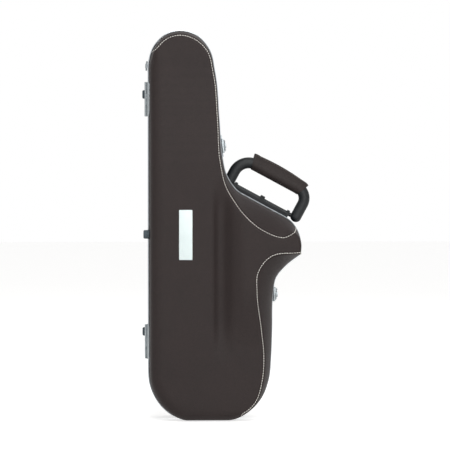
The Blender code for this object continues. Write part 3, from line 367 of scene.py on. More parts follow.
def shell_grid(side):
    """Rows round the case by rings from the rim to the face, and the rings of the groove and the seam."""
    way, _, _, skirt, soft = SHELLS[side]
    edge = (soft + (STITCHED_EDGE - soft) * sewn)[:, None]
    high = hide_line + inward(hide_line) * edge
    depth = face_depth(side, high)[:, None]
    recess = window(rows, RECESS_ROWS)[:, None] * (HANDLE_RECESS if way > 0 else 0)
    low = rim + inward(silhouette) * recess
    step = FLANGE + 2 * SEAT_GAP
    shelf = np.full_like(depth, step + RECESS_SLOPE)
    start = np.maximum(1 - edge / (depth - skirt), 0.5)
    rings = [(rim, np.full_like(depth, HEM_DEPTH)), (rim, np.full_like(depth, step)),
             (rim + (low - rim) * 0.5, (step + shelf) / 2), (low, shelf), (low, (shelf + skirt) / 2)]
    for share in np.linspace(0, 1, SIDE_RINGS):
        rise = start * share
        rings.append((low + (hide_line - low) * rise ** 2, skirt + (depth - skirt) * rise))
    begin, begin_depth = rings[-1]
    edge_start = len(rings)
    for share in EDGE_SHARES:
        first, middle, last = (1 - share) ** 2, 2 * share * (1 - share), share * share
        plan = begin * first + hide_line * middle + high * last
        rings.append((plan, begin_depth * first + depth * (middle + last)))
    grid = np.array([np.stack((plan[:, 0], parted(way, level[:, 0]), plan[:, 1]), 1)
                     for plan, level in rings])
    return grid, edge_start + EDGE_SHARES.index(GROOVE_SHARE), edge_start + EDGE_SHARES.index(SEAM_SHARE)


def grid_normals(grid, way):
    """Outward normals of a grid of rings and rows."""
    around = np.roll(grid, -1, 1) - np.roll(grid, 1, 1)
    along = np.gradient(grid, axis=0)
    normal = np.cross(around, along)
    normal /= np.maximum(np.linalg.norm(normal, axis=2), 1e-12)[:, :, None]
    return normal * (-way)


def bridge(shape, rings):
    """Joins each closed ring of vertices to the next one."""
    for lower, upper in zip(rings, rings[1:]):
        for index in range(len(lower)):
            following = (index + 1) % len(lower)
            shape.faces.new((lower[index], lower[following], upper[following], upper[index]))


def finished(piece):
    """The piece with its modifiers applied."""
    made = bpy.data.meshes.new_from_object(piece.evaluated_get(bpy.context.evaluated_depsgraph_get()))
    piece.modifiers.clear()
    piece.data = made
    return piece


# Grained hide, dyed through and waxed: dark, dull and brown, with a soft shine on the raised grain only.
leather, tree, shader = new_material("leather_hide", Roughness=0.52, Specular_IOR_Level=0.30,
                                     Coat_Weight=0.03, Coat_Roughness=0.4)
place = add(tree, "ShaderNodeTexCoord").outputs["Object"]
pores = add(tree, "ShaderNodeTexVoronoi", {"Scale": 1 / GRAIN_WIDTH, "Randomness": 0.9}, {"Vector": place},
            feature="DISTANCE_TO_EDGE")
creases = add(tree, "ShaderNodeMapRange", {"From Max": 0.18}, {"Value": pores.outputs["Distance"]},
              interpolation_type="SMOOTHSTEP")
cloud = add(tree, "ShaderNodeTexNoise", {"Scale": 1 / HIDE_PATCH_WIDTH, "Detail": 4, "Roughness": 0.6},
            {"Vector": place})
fine = add(tree, "ShaderNodeTexNoise", {"Scale": 1 / PORE_WIDTH, "Detail": 2}, {"Vector": place})
mixed = add(tree, "ShaderNodeMix", {6: tone(LEATHER_DARK_HEX), 7: tone(LEATHER_HEX)}, {0: creases.outputs[0]},
            data_type="RGBA")
patch = add(tree, "ShaderNodeMapRange", {"From Min": 0.3, "From Max": 0.7, "To Min": 0.90, "To Max": 1.10},
            {"Value": cloud.outputs["Fac"]})
shade = add(tree, "ShaderNodeVectorMath", links={0: mixed.outputs[2], 1: patch.outputs[0]},
            operation="MULTIPLY")
tree.links.new(shade.outputs[0], shader.inputs["Base Color"])
gloss = add(tree, "ShaderNodeMapRange", {"To Min": 0.74, "To Max": 0.62}, {"Value": creases.outputs[0]})
tree.links.new(gloss.outputs[0], shader.inputs["Roughness"])
height = add(tree, "ShaderNodeMath", {1: 0.25}, {0: fine.outputs["Fac"]}, operation="MULTIPLY")
height = add(tree, "ShaderNodeMath", links={0: creases.outputs[0], 1: height.outputs[0]}, operation="ADD")
relief = add(tree, "ShaderNodeBump", {"Strength": 0.35, "Distance": GRAIN_RELIEF},
             {"Height": height.outputs[0]})
tree.links.new(relief.outputs[0], shader.inputs["Normal"])

kinds = [row[4] for row in OUTLINE_SHARES]
first, last = HANDLE_ROWS
face_kinds = kinds[:first] + [ROUND] * (last + 1 - first) + kinds[last + 1:]
outlines = ([placed(*row[:2]) for row in OUTLINE_SHARES], [placed(*row[2:4]) for row in OUTLINE_SHARES])
(silhouette, hide_line), rows = sampled(outlines, (kinds, face_kinds))
hide_line[:, 0] = np.maximum(hide_line[:, 0], placed(0, 0).x + EDGE_PROUD)
rim = silhouette + inward(silhouette) * EDGE_PROUD
sewn = window(rows, STITCHED_ROWS)
grooved = (sewn * (1 - window(rows, WRAPPED_ROWS)))[:, None]

seam_grids = {}
for side in ("lid", "base"):
    way = SHELLS[side][0]
    grid, groove_ring, seam_ring = shell_grid(side)
    normals = grid_normals(grid, way)
    for offset, share in GROOVE_RINGS:
        grid[groove_ring + offset] -= normals[groove_ring + offset] * grooved * GROOVE_DEPTH * share
    seam_grids[side] = (grid, normals, seam_ring)
    flat = grid[-1][:, (0, 2)]
    low, high = flat.min(0), flat.max(0)
    xs, zs = np.arange(low[0], high[0], NET_STEP), np.arange(low[1], high[1], NET_STEP)
    net = np.stack(np.meshgrid(xs, zs), 2).reshape(-1, 2)
    net = net[inside(net, flat + inward(flat) * NET_MARGIN)]
    filled = delaunay_2d_cdt([Vector(point) for point in flat] + [Vector(point) for point in net],
                             [(index, (index + 1) % len(flat)) for index in range(len(flat))], [], 1, 1e-7)
    shape = bmesh.new()
    rings = [[shape.verts.new(point) for point in ring] for ring in grid]
    bridge(shape, rings)
    level = parted(way, face_depth(side, net))
    corners = rings[-1] + [shape.verts.new((x, y, z)) for (x, z), y in zip(net, level)]
    places = np.array([point[:2] for point in filled[0]])
    middles = places[np.array(filled[2])].mean(1)
    for triangle, kept in zip(filled[2], inside(middles, flat)):
        if kept:
            shape.faces.new([corners[filled[3][corner][0]] for corner in triangle])
    bmesh.ops.recalc_face_normals(shape, faces=shape.faces[:])
    shape.normal_update()
    if sum(face.normal.y * face.calc_area() for face in shape.faces) * way < 0:
        bmesh.ops.reverse_faces(shape, faces=shape.faces[:])
    name = side + "_leather_shell"
    piece = new_piece(name, as_mesh(name, shape, outward=False), leather, smooth_angle=50)
    wall = piece.modifiers.new("wall", "SOLIDIFY")
    wall.thickness = WALL_THICKNESS
    wall.offset = -1
    finished(piece)
    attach(piece, side)
    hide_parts(side + "_shell")

# Seam stitching
# Cream waxed thread, lock-stitched along the turned seam of each shell: one row under the neck and
# round the bend, one from the bell's end over the crook. Each row ends down the side at the bell's tip.
STITCH_PITCH = 0.0042
STITCH_LENGTH = 0.0034
STITCH_THICKNESS = 0.0012  # real thread is 0.8 mm; drawn thicker so that it shows in the render
STITCH_LIFT = 0.22
THREAD_TWIST = 0.00111  # a real twist is 0.5 mm long; drawn longer so that it shows
THREAD_HEX = "faf7f1"
THREAD_DARK_HEX = "e6e1d8"
# Rows of the outline where the seams start and end, and where they pass the bell's tip and the crook
SEAM_ENDS = (1.6, 25.35)
BELL_ENDS = (10.0, 12.0)
BEND_ROWS = 5
BEND_STEPS = 24
END_RING = 2


def repeated(name, points, edges, material, group_name, sizes, lay):
    """Geometry Nodes repeat a small part along a mesh of points: lay says how, with the named sizes."""
    mesh = bpy.data.meshes.new(name)
    mesh.from_pydata([tuple(point) for point in points], edges, [])
    piece = new_piece(name, mesh, material)
    group = bpy.data.node_groups.get(group_name)
    if group is None:
        group = bpy.data.node_groups.new(group_name, "GeometryNodeTree")
        for way in ("INPUT", "OUTPUT"):
            group.interface.new_socket("Geometry", in_out=way, socket_type="NodeSocketGeometry")
        for label in sizes:
            group.interface.new_socket(label, in_out="INPUT", socket_type="NodeSocketFloat")
        group.interface.new_socket("Material", in_out="INPUT", socket_type="NodeSocketMaterial")
        given = add(group, "NodeGroupInput").outputs
        laid = lay(group, given)
        real = add(group, "GeometryNodeRealizeInstances", links={0: laid.outputs[0]})
        soft = add(group, "GeometryNodeSetShadeSmooth", links={0: real.outputs[0]})
        ends = add(group, "GeometryNodeSetMaterial",
                   links={0: soft.outputs[0], "Material": given["Material"]})
        add(group, "NodeGroupOutput", links={0: ends.outputs[0]})
    maker = piece.modifiers.new(group_name, "NODES")
    maker.node_group = group
    sockets = {item.name: item.identifier for item in group.interface.items_tree if item.in_out == "INPUT"}
    for label, value in {**sizes, "Material": material}.items():
        maker[sockets[label]] = value
    return finished(piece)


def lay_stitches(group, given):
    """A thread bead at each pitch along the line, turned to follow it."""
    line = add(group, "GeometryNodeMeshToCurve", links={0: given["Geometry"]})
    line = add(group, "GeometryNodeResampleCurve", links={0: line.outputs[0], "Length": given["Pitch"]},
               mode="LENGTH")
    along = add(group, "GeometryNodeInputTangent")
    turn = add(group, "FunctionNodeAlignRotationToVector", links={"Vector": along.outputs[0]}, axis="Z")
    size = add(group, "ShaderNodeCombineXYZ",
               links={0: given["Thickness"], 1: given["Thickness"], 2: given["Length"]})
    bead = add(group, "GeometryNodeMeshUVSphere", {"Segments": 8, "Rings": 6, "Radius": 0.5})
    bead = add(group, "GeometryNodeTransform", links={0: bead.outputs[0], "Scale": size.outputs[0]})
    return add(group, "GeometryNodeInstanceOnPoints",
               links={"Points": line.outputs[0], "Instance": bead.outputs[0], "Rotation": turn.outputs[0]})


def sew(name, points, thread):
    """A row of stitches along an open line of points."""
    edges = [(index, index + 1) for index in range(len(points) - 1)]
    sizes = {"Pitch": STITCH_PITCH, "Length": STITCH_LENGTH, "Thickness": STITCH_THICKNESS}
    return repeated(name, points, edges, thread, "stitch_row", sizes, lay_stitches)


def mottled(tree, shader, width, detail, colours, gloss=None):
    """Two colours that mix in spots of a width, which may also set the roughness between two values."""
    place = add(tree, "ShaderNodeTexCoord").outputs["Object"]
    cloud = add(tree, "ShaderNodeTexNoise", {"Scale": 1 / width, "Detail": detail}, {"Vector": place})
    spots = cloud.outputs["Fac"]
    mixed = add(tree, "ShaderNodeMix", {6: tone(colours[0]), 7: tone(colours[1])}, {0: spots},
                data_type="RGBA")
    tree.links.new(mixed.outputs[2], shader.inputs["Base Color"])
    if gloss:
        worn = add(tree, "ShaderNodeMapRange", {"To Min": gloss[0], "To Max": gloss[1]}, {"Value": spots})
        tree.links.new(worn.outputs[0], shader.inputs["Roughness"])


# Twisted and waxed thread: cream, with small darker strands, and dull.
thread, tree, shader = new_material("waxed_thread", Roughness=0.6)
mottled(tree, shader, THREAD_TWIST, detail=2, colours=(THREAD_DARK_HEX, THREAD_HEX))

for side in ("lid", "base"):
    grid, normals, ring = seam_grids[side]
    raised = grid + normals * STITCH_THICKNESS * STITCH_LIFT
    tip, turn = (int(np.searchsorted(rows, row)) for row in BELL_ENDS)
    first, last = (int(np.searchsorted(rows, row)) for row in SEAM_ENDS)
    bends = {}
    for label, row_end, way in (("foot", first, 1), ("bell", turn, 1), ("neck", last, -1)):
        bends[label] = []
        for angle in np.linspace(math.pi / 2, 0, BEND_STEPS):
            level = ring - (ring - END_RING) * (1 - math.cos(angle))
            row = row_end + way * BEND_ROWS * (1 - math.sin(angle))
            level_low, row_low = int(level), int(row)
            level_high, row_high = min(level_low + 1, ring), row_low + 1
            near, far = (raised[where, row_low] * (row_high - row) + raised[where, row_high] * (row - row_low)
                         for where in (level_low, level_high))
            bends[label].append(near + (far - near) * (level - level_low))
    lower = bends["foot"] + [raised[ring, row] for row in range(first + BEND_ROWS + 1, tip + 1)]
    lower += [raised[level, tip] for level in range(ring, END_RING - 1, -1)]
    upper = bends["bell"] + [raised[ring, row] for row in range(turn + BEND_ROWS + 1, last - BEND_ROWS)]
    upper += bends["neck"][::-1]
    for label, line in (("lower", lower), ("upper", upper)):
        piece = sew(f"{side}_{label}_seam_stitches", line, thread)
        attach(piece, side)

# Aluminium edge
# Extruded aluminium channel, bent round both shells and clear-anodised: a flange clasps the hide,
# a web backs it, and the base's lip stands into the lid. Drawn bright, with fine lines along it.
EDGE_WEB = 0.0092
EDGE_THICKNESS = 0.0020
LIP_FACES = (0.0095, 0.0107)
LIP_HEIGHT = 0.0015
LIP_ROUND = 0.0003
# The flange's section: distances in from the outline, and depths from the parting
FLANGE_SECTION = [(0.0003, 0.0), (0.0, 0.0005), (0.0, 0.0026), (0.0004, 0.0030), (0.0004, 0.0062),
                  (0.0, 0.0066), (0.0, 0.0083), (0.0003, 0.0088), (0.0009, 0.0090), (0.0015, 0.0088),
                  (0.0018, 0.0084), (0.0018, EDGE_THICKNESS)]
LEG_SECTIONS = {
    "lid": [(EDGE_WEB, EDGE_THICKNESS), (EDGE_WEB, 0.0)],
    "base": [(LIP_FACES[1], EDGE_THICKNESS), (LIP_FACES[1], LIP_ROUND - LIP_HEIGHT),
             (LIP_FACES[1] - LIP_ROUND, -LIP_HEIGHT), (LIP_FACES[0] + LIP_ROUND, -LIP_HEIGHT),
             (LIP_FACES[0], LIP_ROUND - LIP_HEIGHT), (LIP_FACES[0], 0.0)],
}
DRAWN_LINE_LENGTH = 0.00833
DRAWN_LINE_RATIO = 40
ALUMINIUM_HEX = "c4c9cd"
ALUMINIUM_DARK_HEX = "a9afb4"

# Clear-anodised drawn aluminium: bright and a little satin, with faint lines that stretch along the edge.
aluminium, tree, shader = new_material("anodised_aluminium", Metallic=1.0, Roughness=0.28)
place = add(tree, "ShaderNodeTexCoord").outputs["Object"]
spread = add(tree, "ShaderNodeMapping", {"Scale": (1, DRAWN_LINE_RATIO, 1)}, {"Vector": place})
drawn = add(tree, "ShaderNodeTexNoise", {"Scale": 1 / DRAWN_LINE_LENGTH, "Detail": 3},
            {"Vector": spread.outputs[0]})
mixed = add(tree, "ShaderNodeMix", {6: tone(ALUMINIUM_DARK_HEX), 7: tone(ALUMINIUM_HEX)},
            {0: drawn.outputs["Fac"]}, data_type="RGBA")
tree.links.new(mixed.outputs[2], shader.inputs["Base Color"])
gloss = add(tree, "ShaderNodeMapRange", {"To Min": 0.22, "To Max": 0.36}, {"Value": drawn.outputs["Fac"]})
tree.links.new(gloss.outputs[0], shader.inputs["Roughness"])

for side in ("lid", "base"):
    way = SHELLS[side][0]
    shape = bmesh.new()
    rings = []
    for inset, depth in FLANGE_SECTION + LEG_SECTIONS[side]:
        line = silhouette + inward(silhouette) * inset
        rings.append([shape.verts.new((x, parted(way, depth), z)) for x, z in line])
    bridge(shape, rings[-1:] + rings)
    name = side + "_aluminium_edge"
    piece = new_piece(name, as_mesh(name, shape), aluminium, smooth_angle=25)
    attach(piece, side)
    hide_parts(side + "_valance")

# Padded liners
# Foam pads covered in black plush, glued into each shell, with one pocket for the body and bell and one
# for the neck. The plush is stretched over the foam, so the pads swell a little between their edges.
PAD_VOXEL = 0.005
PAD_WELD = 0.00002
PAD_SHRINK = 0.0012
PAD_SWELL = 0.004
PAD_LAND_SWELL = 0.0012
PAD_LAND_DEPTHS = (0.006, 0.02)
PAD_PRESSURE = 4
PAD_MOMENTS = 20
PILE_WIDTH = 0.0010  # real pile is 0.4 mm wide; drawn coarser so that it shows
BRUSHED_WIDTH = 0.0385
PILE_HEIGHT = 0.0005
PLUSH_HEX = "2e2b2c"
PLUSH_DARK_HEX = "121112"

# Knitted pile, brushed: near black and matt, in lighter and darker patches, with a sheen at grazing angles.
plush, tree, shader = new_material("knitted_plush", Roughness=0.95, Specular_IOR_Level=0.15,
                                   Sheen_Weight=0.35, Sheen_Roughness=0.45)
place = add(tree, "ShaderNodeTexCoord").outputs["Object"]
pile = add(tree, "ShaderNodeTexNoise", {"Scale": 1 / PILE_WIDTH, "Detail": 3}, {"Vector": place})
brushed = add(tree, "ShaderNodeTexNoise", {"Scale": 1 / BRUSHED_WIDTH, "Detail": 3}, {"Vector": place})
level = add(tree, "ShaderNodeMath", links={0: pile.outputs["Fac"], 1: brushed.outputs["Fac"]},
            operation="MULTIPLY")
level = add(tree, "ShaderNodeMapRange", {"From Min": 0.12, "From Max": 0.42}, {"Value": level.outputs[0]})
mixed = add(tree, "ShaderNodeMix", {6: tone(PLUSH_DARK_HEX), 7: tone(PLUSH_HEX)}, {0: level.outputs[0]},
            data_type="RGBA")
tree.links.new(mixed.outputs[2], shader.inputs["Base Color"])
relief = add(tree, "ShaderNodeBump", {"Strength": 0.6, "Distance": PILE_HEIGHT},
             {"Height": pile.outputs["Fac"]})
tree.links.new(relief.outputs[0], shader.inputs["Normal"])


def stuffed(piece, pressure, limit, shrink):
    """Swells a closed pad as cloth under pressure, each point by at most its own limit."""
    coords = np.array([vertex.co for vertex in piece.data.vertices])
    normals = np.array([vertex.normal for vertex in piece.data.vertices])
    start = coords - normals * shrink
    piece.data.vertices.foreach_set("co", start.ravel())
    cloth = piece.modifiers.new("cloth", "CLOTH")
    cloth.settings.use_pressure = True
    cloth.settings.uniform_pressure_force = pressure
    cloth.settings.effector_weights.gravity = 0
    cloth.settings.quality = 4
    cloth.collision_settings.use_collision = False
    cloth.point_cache.frame_end = PAD_MOMENTS
    for moment in range(1, PAD_MOMENTS + 1):
        bpy.context.scene.frame_set(moment)
    finished(piece)
    bpy.context.scene.frame_set(1)
    moved = np.array([vertex.co for vertex in piece.data.vertices]) - start
    reach = np.linalg.norm(moved, axis=1)
    moved *= np.minimum(1, limit / np.maximum(reach, 1e-9))[:, None]
    piece.data.vertices.foreach_set("co", (start + moved).ravel())
    piece.data.update()


def rounder(piece, levels):
    """The piece with its faces divided and smoothed, so that it looks soft."""
    finer = piece.modifiers.new("finer", "SUBSURF")
    finer.levels = finer.render_levels = levels
    finished(piece)
    piece.data.shade_smooth()


for side, node in (("lid", "lid_liner"), ("base", "base_liner")):
    way = SHELLS[side][0]
    shape = bmesh.new()
    shape.from_mesh(frame["nodes"][node].data)
    bmesh.ops.remove_doubles(shape, verts=shape.verts[:], dist=PAD_WELD)
    name = side + "_plush_pad"
    piece = new_piece(name, as_mesh(name, shape, outward=False), plush)
    voxels = piece.modifiers.new("voxels", "REMESH")
    voxels.mode = "VOXEL"
    voxels.voxel_size = PAD_VOXEL
    relax = piece.modifiers.new("relax", "SMOOTH")
    relax.factor = 0.5
    relax.iterations = 4
    finished(piece)
    depth = way * (np.array([vertex.co.y for vertex in piece.data.vertices]) - PARTING)
    limit = PAD_LAND_SWELL + (PAD_SWELL - PAD_LAND_SWELL) * smooth(depth, *PAD_LAND_DEPTHS)
    stuffed(piece, PAD_PRESSURE, limit, PAD_SHRINK)
    rounder(piece, 1)
    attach(piece, side)
    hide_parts(node)

# Neck divider
# A small board between the two pockets, wrapped in thin foam and plush, pushed into its slot.
DIVIDER_CUTS = 9
DIVIDER_PULL = 0.05
DIVIDER_CROWN = 0.20
low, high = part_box("neck_divider")
centre, half = (low + high) / 2, (high - low) / 2
shape = bmesh.new()
bmesh.ops.create_cube(shape, size=2)
bmesh.ops.subdivide_edges(shape, edges=shape.edges[:], cuts=DIVIDER_CUTS, use_grid_fill=True)
for vertex in shape.verts:
    along, across = abs(vertex.co.x), abs(vertex.co.y)
    pull = 1 - DIVIDER_PULL * (along ** 4 + across ** 4)
    crown = 1 - DIVIDER_CROWN + DIVIDER_CROWN * (1 - along ** 4) * (1 - across ** 6)
    offset = Vector((half.x * pull, half.y * pull, half.z * crown))
    vertex.co = centre + vertex.co * offset
piece = new_piece("divider_pad", as_mesh("divider_pad", shape, outward=False), plush)
rounder(piece, 2)
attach(piece, "base")
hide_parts("neck_divider")

# Bare plate
# A thin aluminium plate, enamelled a pale ice colour and let flush into the hide. It carries nothing.
# Its corners are rounded, and its front edge is broken so that the enamel holds.
PLATE_ROUND = 0.0012
PLATE_EDGE = 0.0003
PLATE_EDGE_MIDDLE = 0.0001
PLATE_CLOUD_WIDTH = 0.0167
PEEL_WIDTH = 0.0015
ENAMEL_HEX = "eefaf9"
ENAMEL_DARK_HEX = "e2efef"


def pebbled(tree, shader, width, detail, strength, height=0.0001):
    """A fine relief of bumps of a width and a height."""
    place = add(tree, "ShaderNodeTexCoord").outputs["Object"]
    bumps = add(tree, "ShaderNodeTexNoise", {"Scale": 1 / width, "Detail": detail}, {"Vector": place})
    relief = add(tree, "ShaderNodeBump", {"Strength": strength, "Distance": height},
                 {"Height": bumps.outputs["Fac"]})
    tree.links.new(relief.outputs[0], shader.inputs["Normal"])


# Sprayed enamel: smooth and satin, with a faint cloud in its colour and a hair of orange peel.
enamel, tree, shader = new_material("pale_enamel", Roughness=0.34)
mottled(tree, shader, PLATE_CLOUD_WIDTH, detail=2, colours=(ENAMEL_DARK_HEX, ENAMEL_HEX))
pebbled(tree, shader, PEEL_WIDTH, detail=1, strength=0.05)

low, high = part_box("name_plate")
middle = (low + high) / 2
half = (high - low) / 2
outline = []
for x_way, z_way, start in ((1, -1, -90), (1, 1, 0), (-1, 1, 90), (-1, -1, 180)):
    centre = (middle.x + x_way * (half.x - PLATE_ROUND), middle.z + z_way * (half.z - PLATE_ROUND))
    for angle in (0, 22.5, 45, 67.5, 90):
        turn = math.radians(start + angle)
        outline.append((centre[0] + PLATE_ROUND * math.cos(turn), centre[1] + PLATE_ROUND * math.sin(turn)))
shape = bmesh.new()
rings = []
for y, inset in ((high.y, 0), (low.y + PLATE_EDGE, 0), (low.y + PLATE_EDGE_MIDDLE, PLATE_EDGE_MIDDLE),
                 (low.y, PLATE_EDGE)):
    narrower, shorter = 1 - inset / half.x, 1 - inset / half.z
    rings.append([shape.verts.new((middle.x + (x - middle.x) * narrower, y,
                                   middle.z + (z - middle.z) * shorter)) for x, z in outline])
bridge(shape, rings)
shape.faces.new(rings[0])
shape.faces.new(rings[-1])
piece = new_piece("bare_plate", as_mesh("bare_plate", shape), enamel, smooth_angle=30)
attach(piece, "lid")
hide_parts("name_plate")

# Hinges
# Pressed steel leaves, nickel-plated and satin, with clipped corners and knuckles rolled round a pin.
# Each leaf steps over the aluminium edge and is riveted through its shell.
LEAF_CLIP = 0.0032
RIVET_WIDTH = 0.0060
RIVET_HEIGHT = 0.0012
WELD = 0.00001
FLAT_TURN = math.radians(1.5)
EDGE_TURN = math.radians(38)
SHARP_TURN = math.radians(32)
LEAF_EDGE = 0.00025
BAR_SIDES = 28
BAR_END_SHARE = 0.75
BAR_DOME_SHARE = 0.25
NICKEL_SPOT_WIDTH = 0.00476
NICKEL_HEX = "a2a8ab"
NICKEL_DARK_HEX = "7f8588"
STEEL_LINE_WIDTH = 0.002
STEEL_HEX = "8f979b"
STEEL_DARK_HEX = "6f7678"

# Nickel plate over pressed steel, tumbled: a warm grey satin whose shine changes a little in spots.
nickel, tree, shader = new_material("satin_nickel", Metallic=1.0, Roughness=0.30)
mottled(tree, shader, NICKEL_SPOT_WIDTH, detail=4, colours=(NICKEL_DARK_HEX, NICKEL_HEX), gloss=(0.24, 0.42))
pebbled(tree, shader, NICKEL_SPOT_WIDTH, detail=4, strength=0.08)

# Drawn steel wire and rod, bare: darker than the plate, and a little duller where it was gripped.
steel, tree, shader = new_material("drawn_steel", Metallic=1.0, Roughness=0.3)
mottled(tree, shader, STEEL_LINE_WIDTH, detail=3, colours=(STEEL_DARK_HEX, STEEL_HEX), gloss=(0.25, 0.45))


def merged(node):
    """A merged copy of a CAD node's mesh, with its flat faces joined."""
    shape = bmesh.new()
    shape.from_mesh(frame["nodes"][node].data)
    bmesh.ops.remove_doubles(shape, verts=shape.verts[:], dist=WELD)
    bmesh.ops.dissolve_limit(shape, angle_limit=FLAT_TURN, verts=shape.verts[:], edges=shape.edges[:])
    return shape


def softened(shape, node, material, edge):
    """Breaks a metal or moulded part's edges and lets it stand for its node."""
    name = node + "_finished"
    piece = new_piece(name, as_mesh(name, shape, outward=False), material)
    broken = piece.modifiers.new("broken_edges", "BEVEL")
    broken.width = edge
    broken.segments = 2
    broken.limit_method = "ANGLE"
    broken.angle_limit = EDGE_TURN
    broken.use_clamp_overlap = True
    finished(piece)
    piece.data.shade_smooth()
    piece.data.set_sharp_from_angle(angle=SHARP_TURN)
    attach(piece, frame["nodes"][node]["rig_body"])
    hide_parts(node)


def ring_of(shape, centre, first, second, sides):
    """A ring of vertices round a centre, whose two half-widths are vectors."""
    return [shape.verts.new(centre + first * math.cos(angle) + second * math.sin(angle))
            for angle in np.arange(sides) * math.tau / sides]


def round_bar(node, material):
    """A pin or rod in place of its node, with domed ends."""
    points = np.array([vertex.co for vertex in frame["nodes"][node].data.vertices])
    middle = (points.min(0) + points.max(0)) / 2
    axis = Vector(np.linalg.svd(points - points.mean(0))[2][0])
    reach = (points - middle) @ np.array(axis)
    radius = np.linalg.norm(points - middle - np.outer(reach, axis), axis=1).max()
    half = (reach.max() - reach.min()) / 2
    dome = radius * BAR_DOME_SHARE
    centre = Vector(middle) + axis * float((reach.max() + reach.min()) / 2)
    side = axis.orthogonal().normalized() * radius
    other = axis.cross(side)
    shape = bmesh.new()
    rings = [ring_of(shape, centre + axis * place, side * share, other * share, BAR_SIDES)
             for place, share in ((-half, BAR_END_SHARE), (dome - half, 1),
                                  (half - dome, 1), (half, BAR_END_SHARE))]
    bridge(shape, rings)
    shape.faces.new(rings[0])
    shape.faces.new(rings[-1])
    name = node + "_finished"
    piece = new_piece(name, as_mesh(name, shape), material, smooth_angle=30)
    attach(piece, frame["nodes"][node]["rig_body"])
    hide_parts(node)


def lay_heads(group, given):
    """A domed head on each point, whose far half is sunk in the metal behind it."""
    twice = add(group, "ShaderNodeMath", {1: 2.0}, {0: given["Height"]}, operation="MULTIPLY")
    size = add(group, "ShaderNodeCombineXYZ",
               links={0: twice.outputs[0], 1: given["Width"], 2: given["Width"]})
    dome = add(group, "GeometryNodeMeshUVSphere", {"Segments": 20, "Rings": 14, "Radius": 0.5})
    dome = add(group, "GeometryNodeTransform", links={0: dome.outputs[0], "Scale": size.outputs[0]})
    return add(group, "GeometryNodeInstanceOnPoints",
               links={"Points": given["Geometry"], "Instance": dome.outputs[0]})


for hinge in ("upper_hinge", "lower_hinge"):
    for leaf, way in (("_base_leaf", 1), ("_lid_leaf", -1)):
        shape = merged(hinge + leaf)
        low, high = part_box(hinge + leaf)
        far_y = high.y if way > 0 else low.y
        corners = [edge for edge in shape.edges
                   if all(abs(vertex.co.y - far_y) < WELD for vertex in edge.verts)
                   and any(all(abs(vertex.co.z - end) < WELD for vertex in edge.verts)
                           for end in (low.z, high.z))]
        bmesh.ops.bevel(shape, geom=corners, offset=LEAF_CLIP, offset_type="OFFSET", segments=1,
                        affect="EDGES")
        softened(shape, hinge + leaf, nickel, LEAF_EDGE)
    round_bar(hinge + "_pin", steel)
for side in ("base", "lid"):
    names = [f"{hinge}_{side}_leaf_{end}_rivet" for hinge in ("upper_hinge", "lower_hinge")
             for end in ("lower", "upper")]
    seats = []
    for name in names:
        low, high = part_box(name)
        seats.append((low.x + RIVET_HEIGHT, (low.y + high.y) / 2, (low.z + high.z) / 2))
    piece = repeated(side + "_hinge_rivets", seats, [], nickel, "domed_heads",
                     {"Width": RIVET_WIDTH, "Height": RIVET_HEIGHT}, lay_heads)
    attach(piece, side)
    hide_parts(*names)

# Rubber feet
# Moulded rubber bumpers on the hinge side, each held by a cross-head screw sunk in it.
# They are blue-grey, and the screws are plain steel.
FOOT_WIDTH = 0.0160
FOOT_SIDES = 40
# The foot's section: distances in from its side with heights over the shell, then distances in with depths
# below its top, then distances out from the screw's bore with depths below its top
FOOT_SIDE = ((0.0006, 0), (0, 0.0006), (0, 0.0022), (0.0006, 0.0032))
FOOT_SHOULDER = ((0.0008, 0.0018), (0.0011, 0.0008), (0.0018, 0.0002), (0.0026, 0))
SCREW_SINK = 0.0040
FOOT_BORE = ((0.0006, 0), (0.0001, 0.0003), (0, 0.0008), (0, SCREW_SINK))
FOOT_FLOOR_RADIUS = 0.0005
SCREW_RADIUS = 0.0033
SCREW_CLEARANCE = 0.0004
SCREW_NET = 26
SCREW_SEAT = 0.0008
SCREW_DOME = 0.0011
SCREW_RIM = 0.0007
CROSS_DEPTH = 0.0009
CROSS_HALF_WIDTH = 0.14
CROSS_REACH = 0.72
RUBBER_DUST_WIDTH = 0.003125
RUBBER_HEX = "56636b"
RUBBER_DARK_HEX = "3c464b"

# Moulded rubber: blue-grey and matt, and a little paler in spots where it has rubbed.
rubber, tree, shader = new_material("moulded_grey_rubber", Roughness=0.72)
mottled(tree, shader, RUBBER_DUST_WIDTH, detail=4, colours=(RUBBER_DARK_HEX, RUBBER_HEX))
pebbled(tree, shader, RUBBER_DUST_WIDTH, detail=4, strength=0.25)

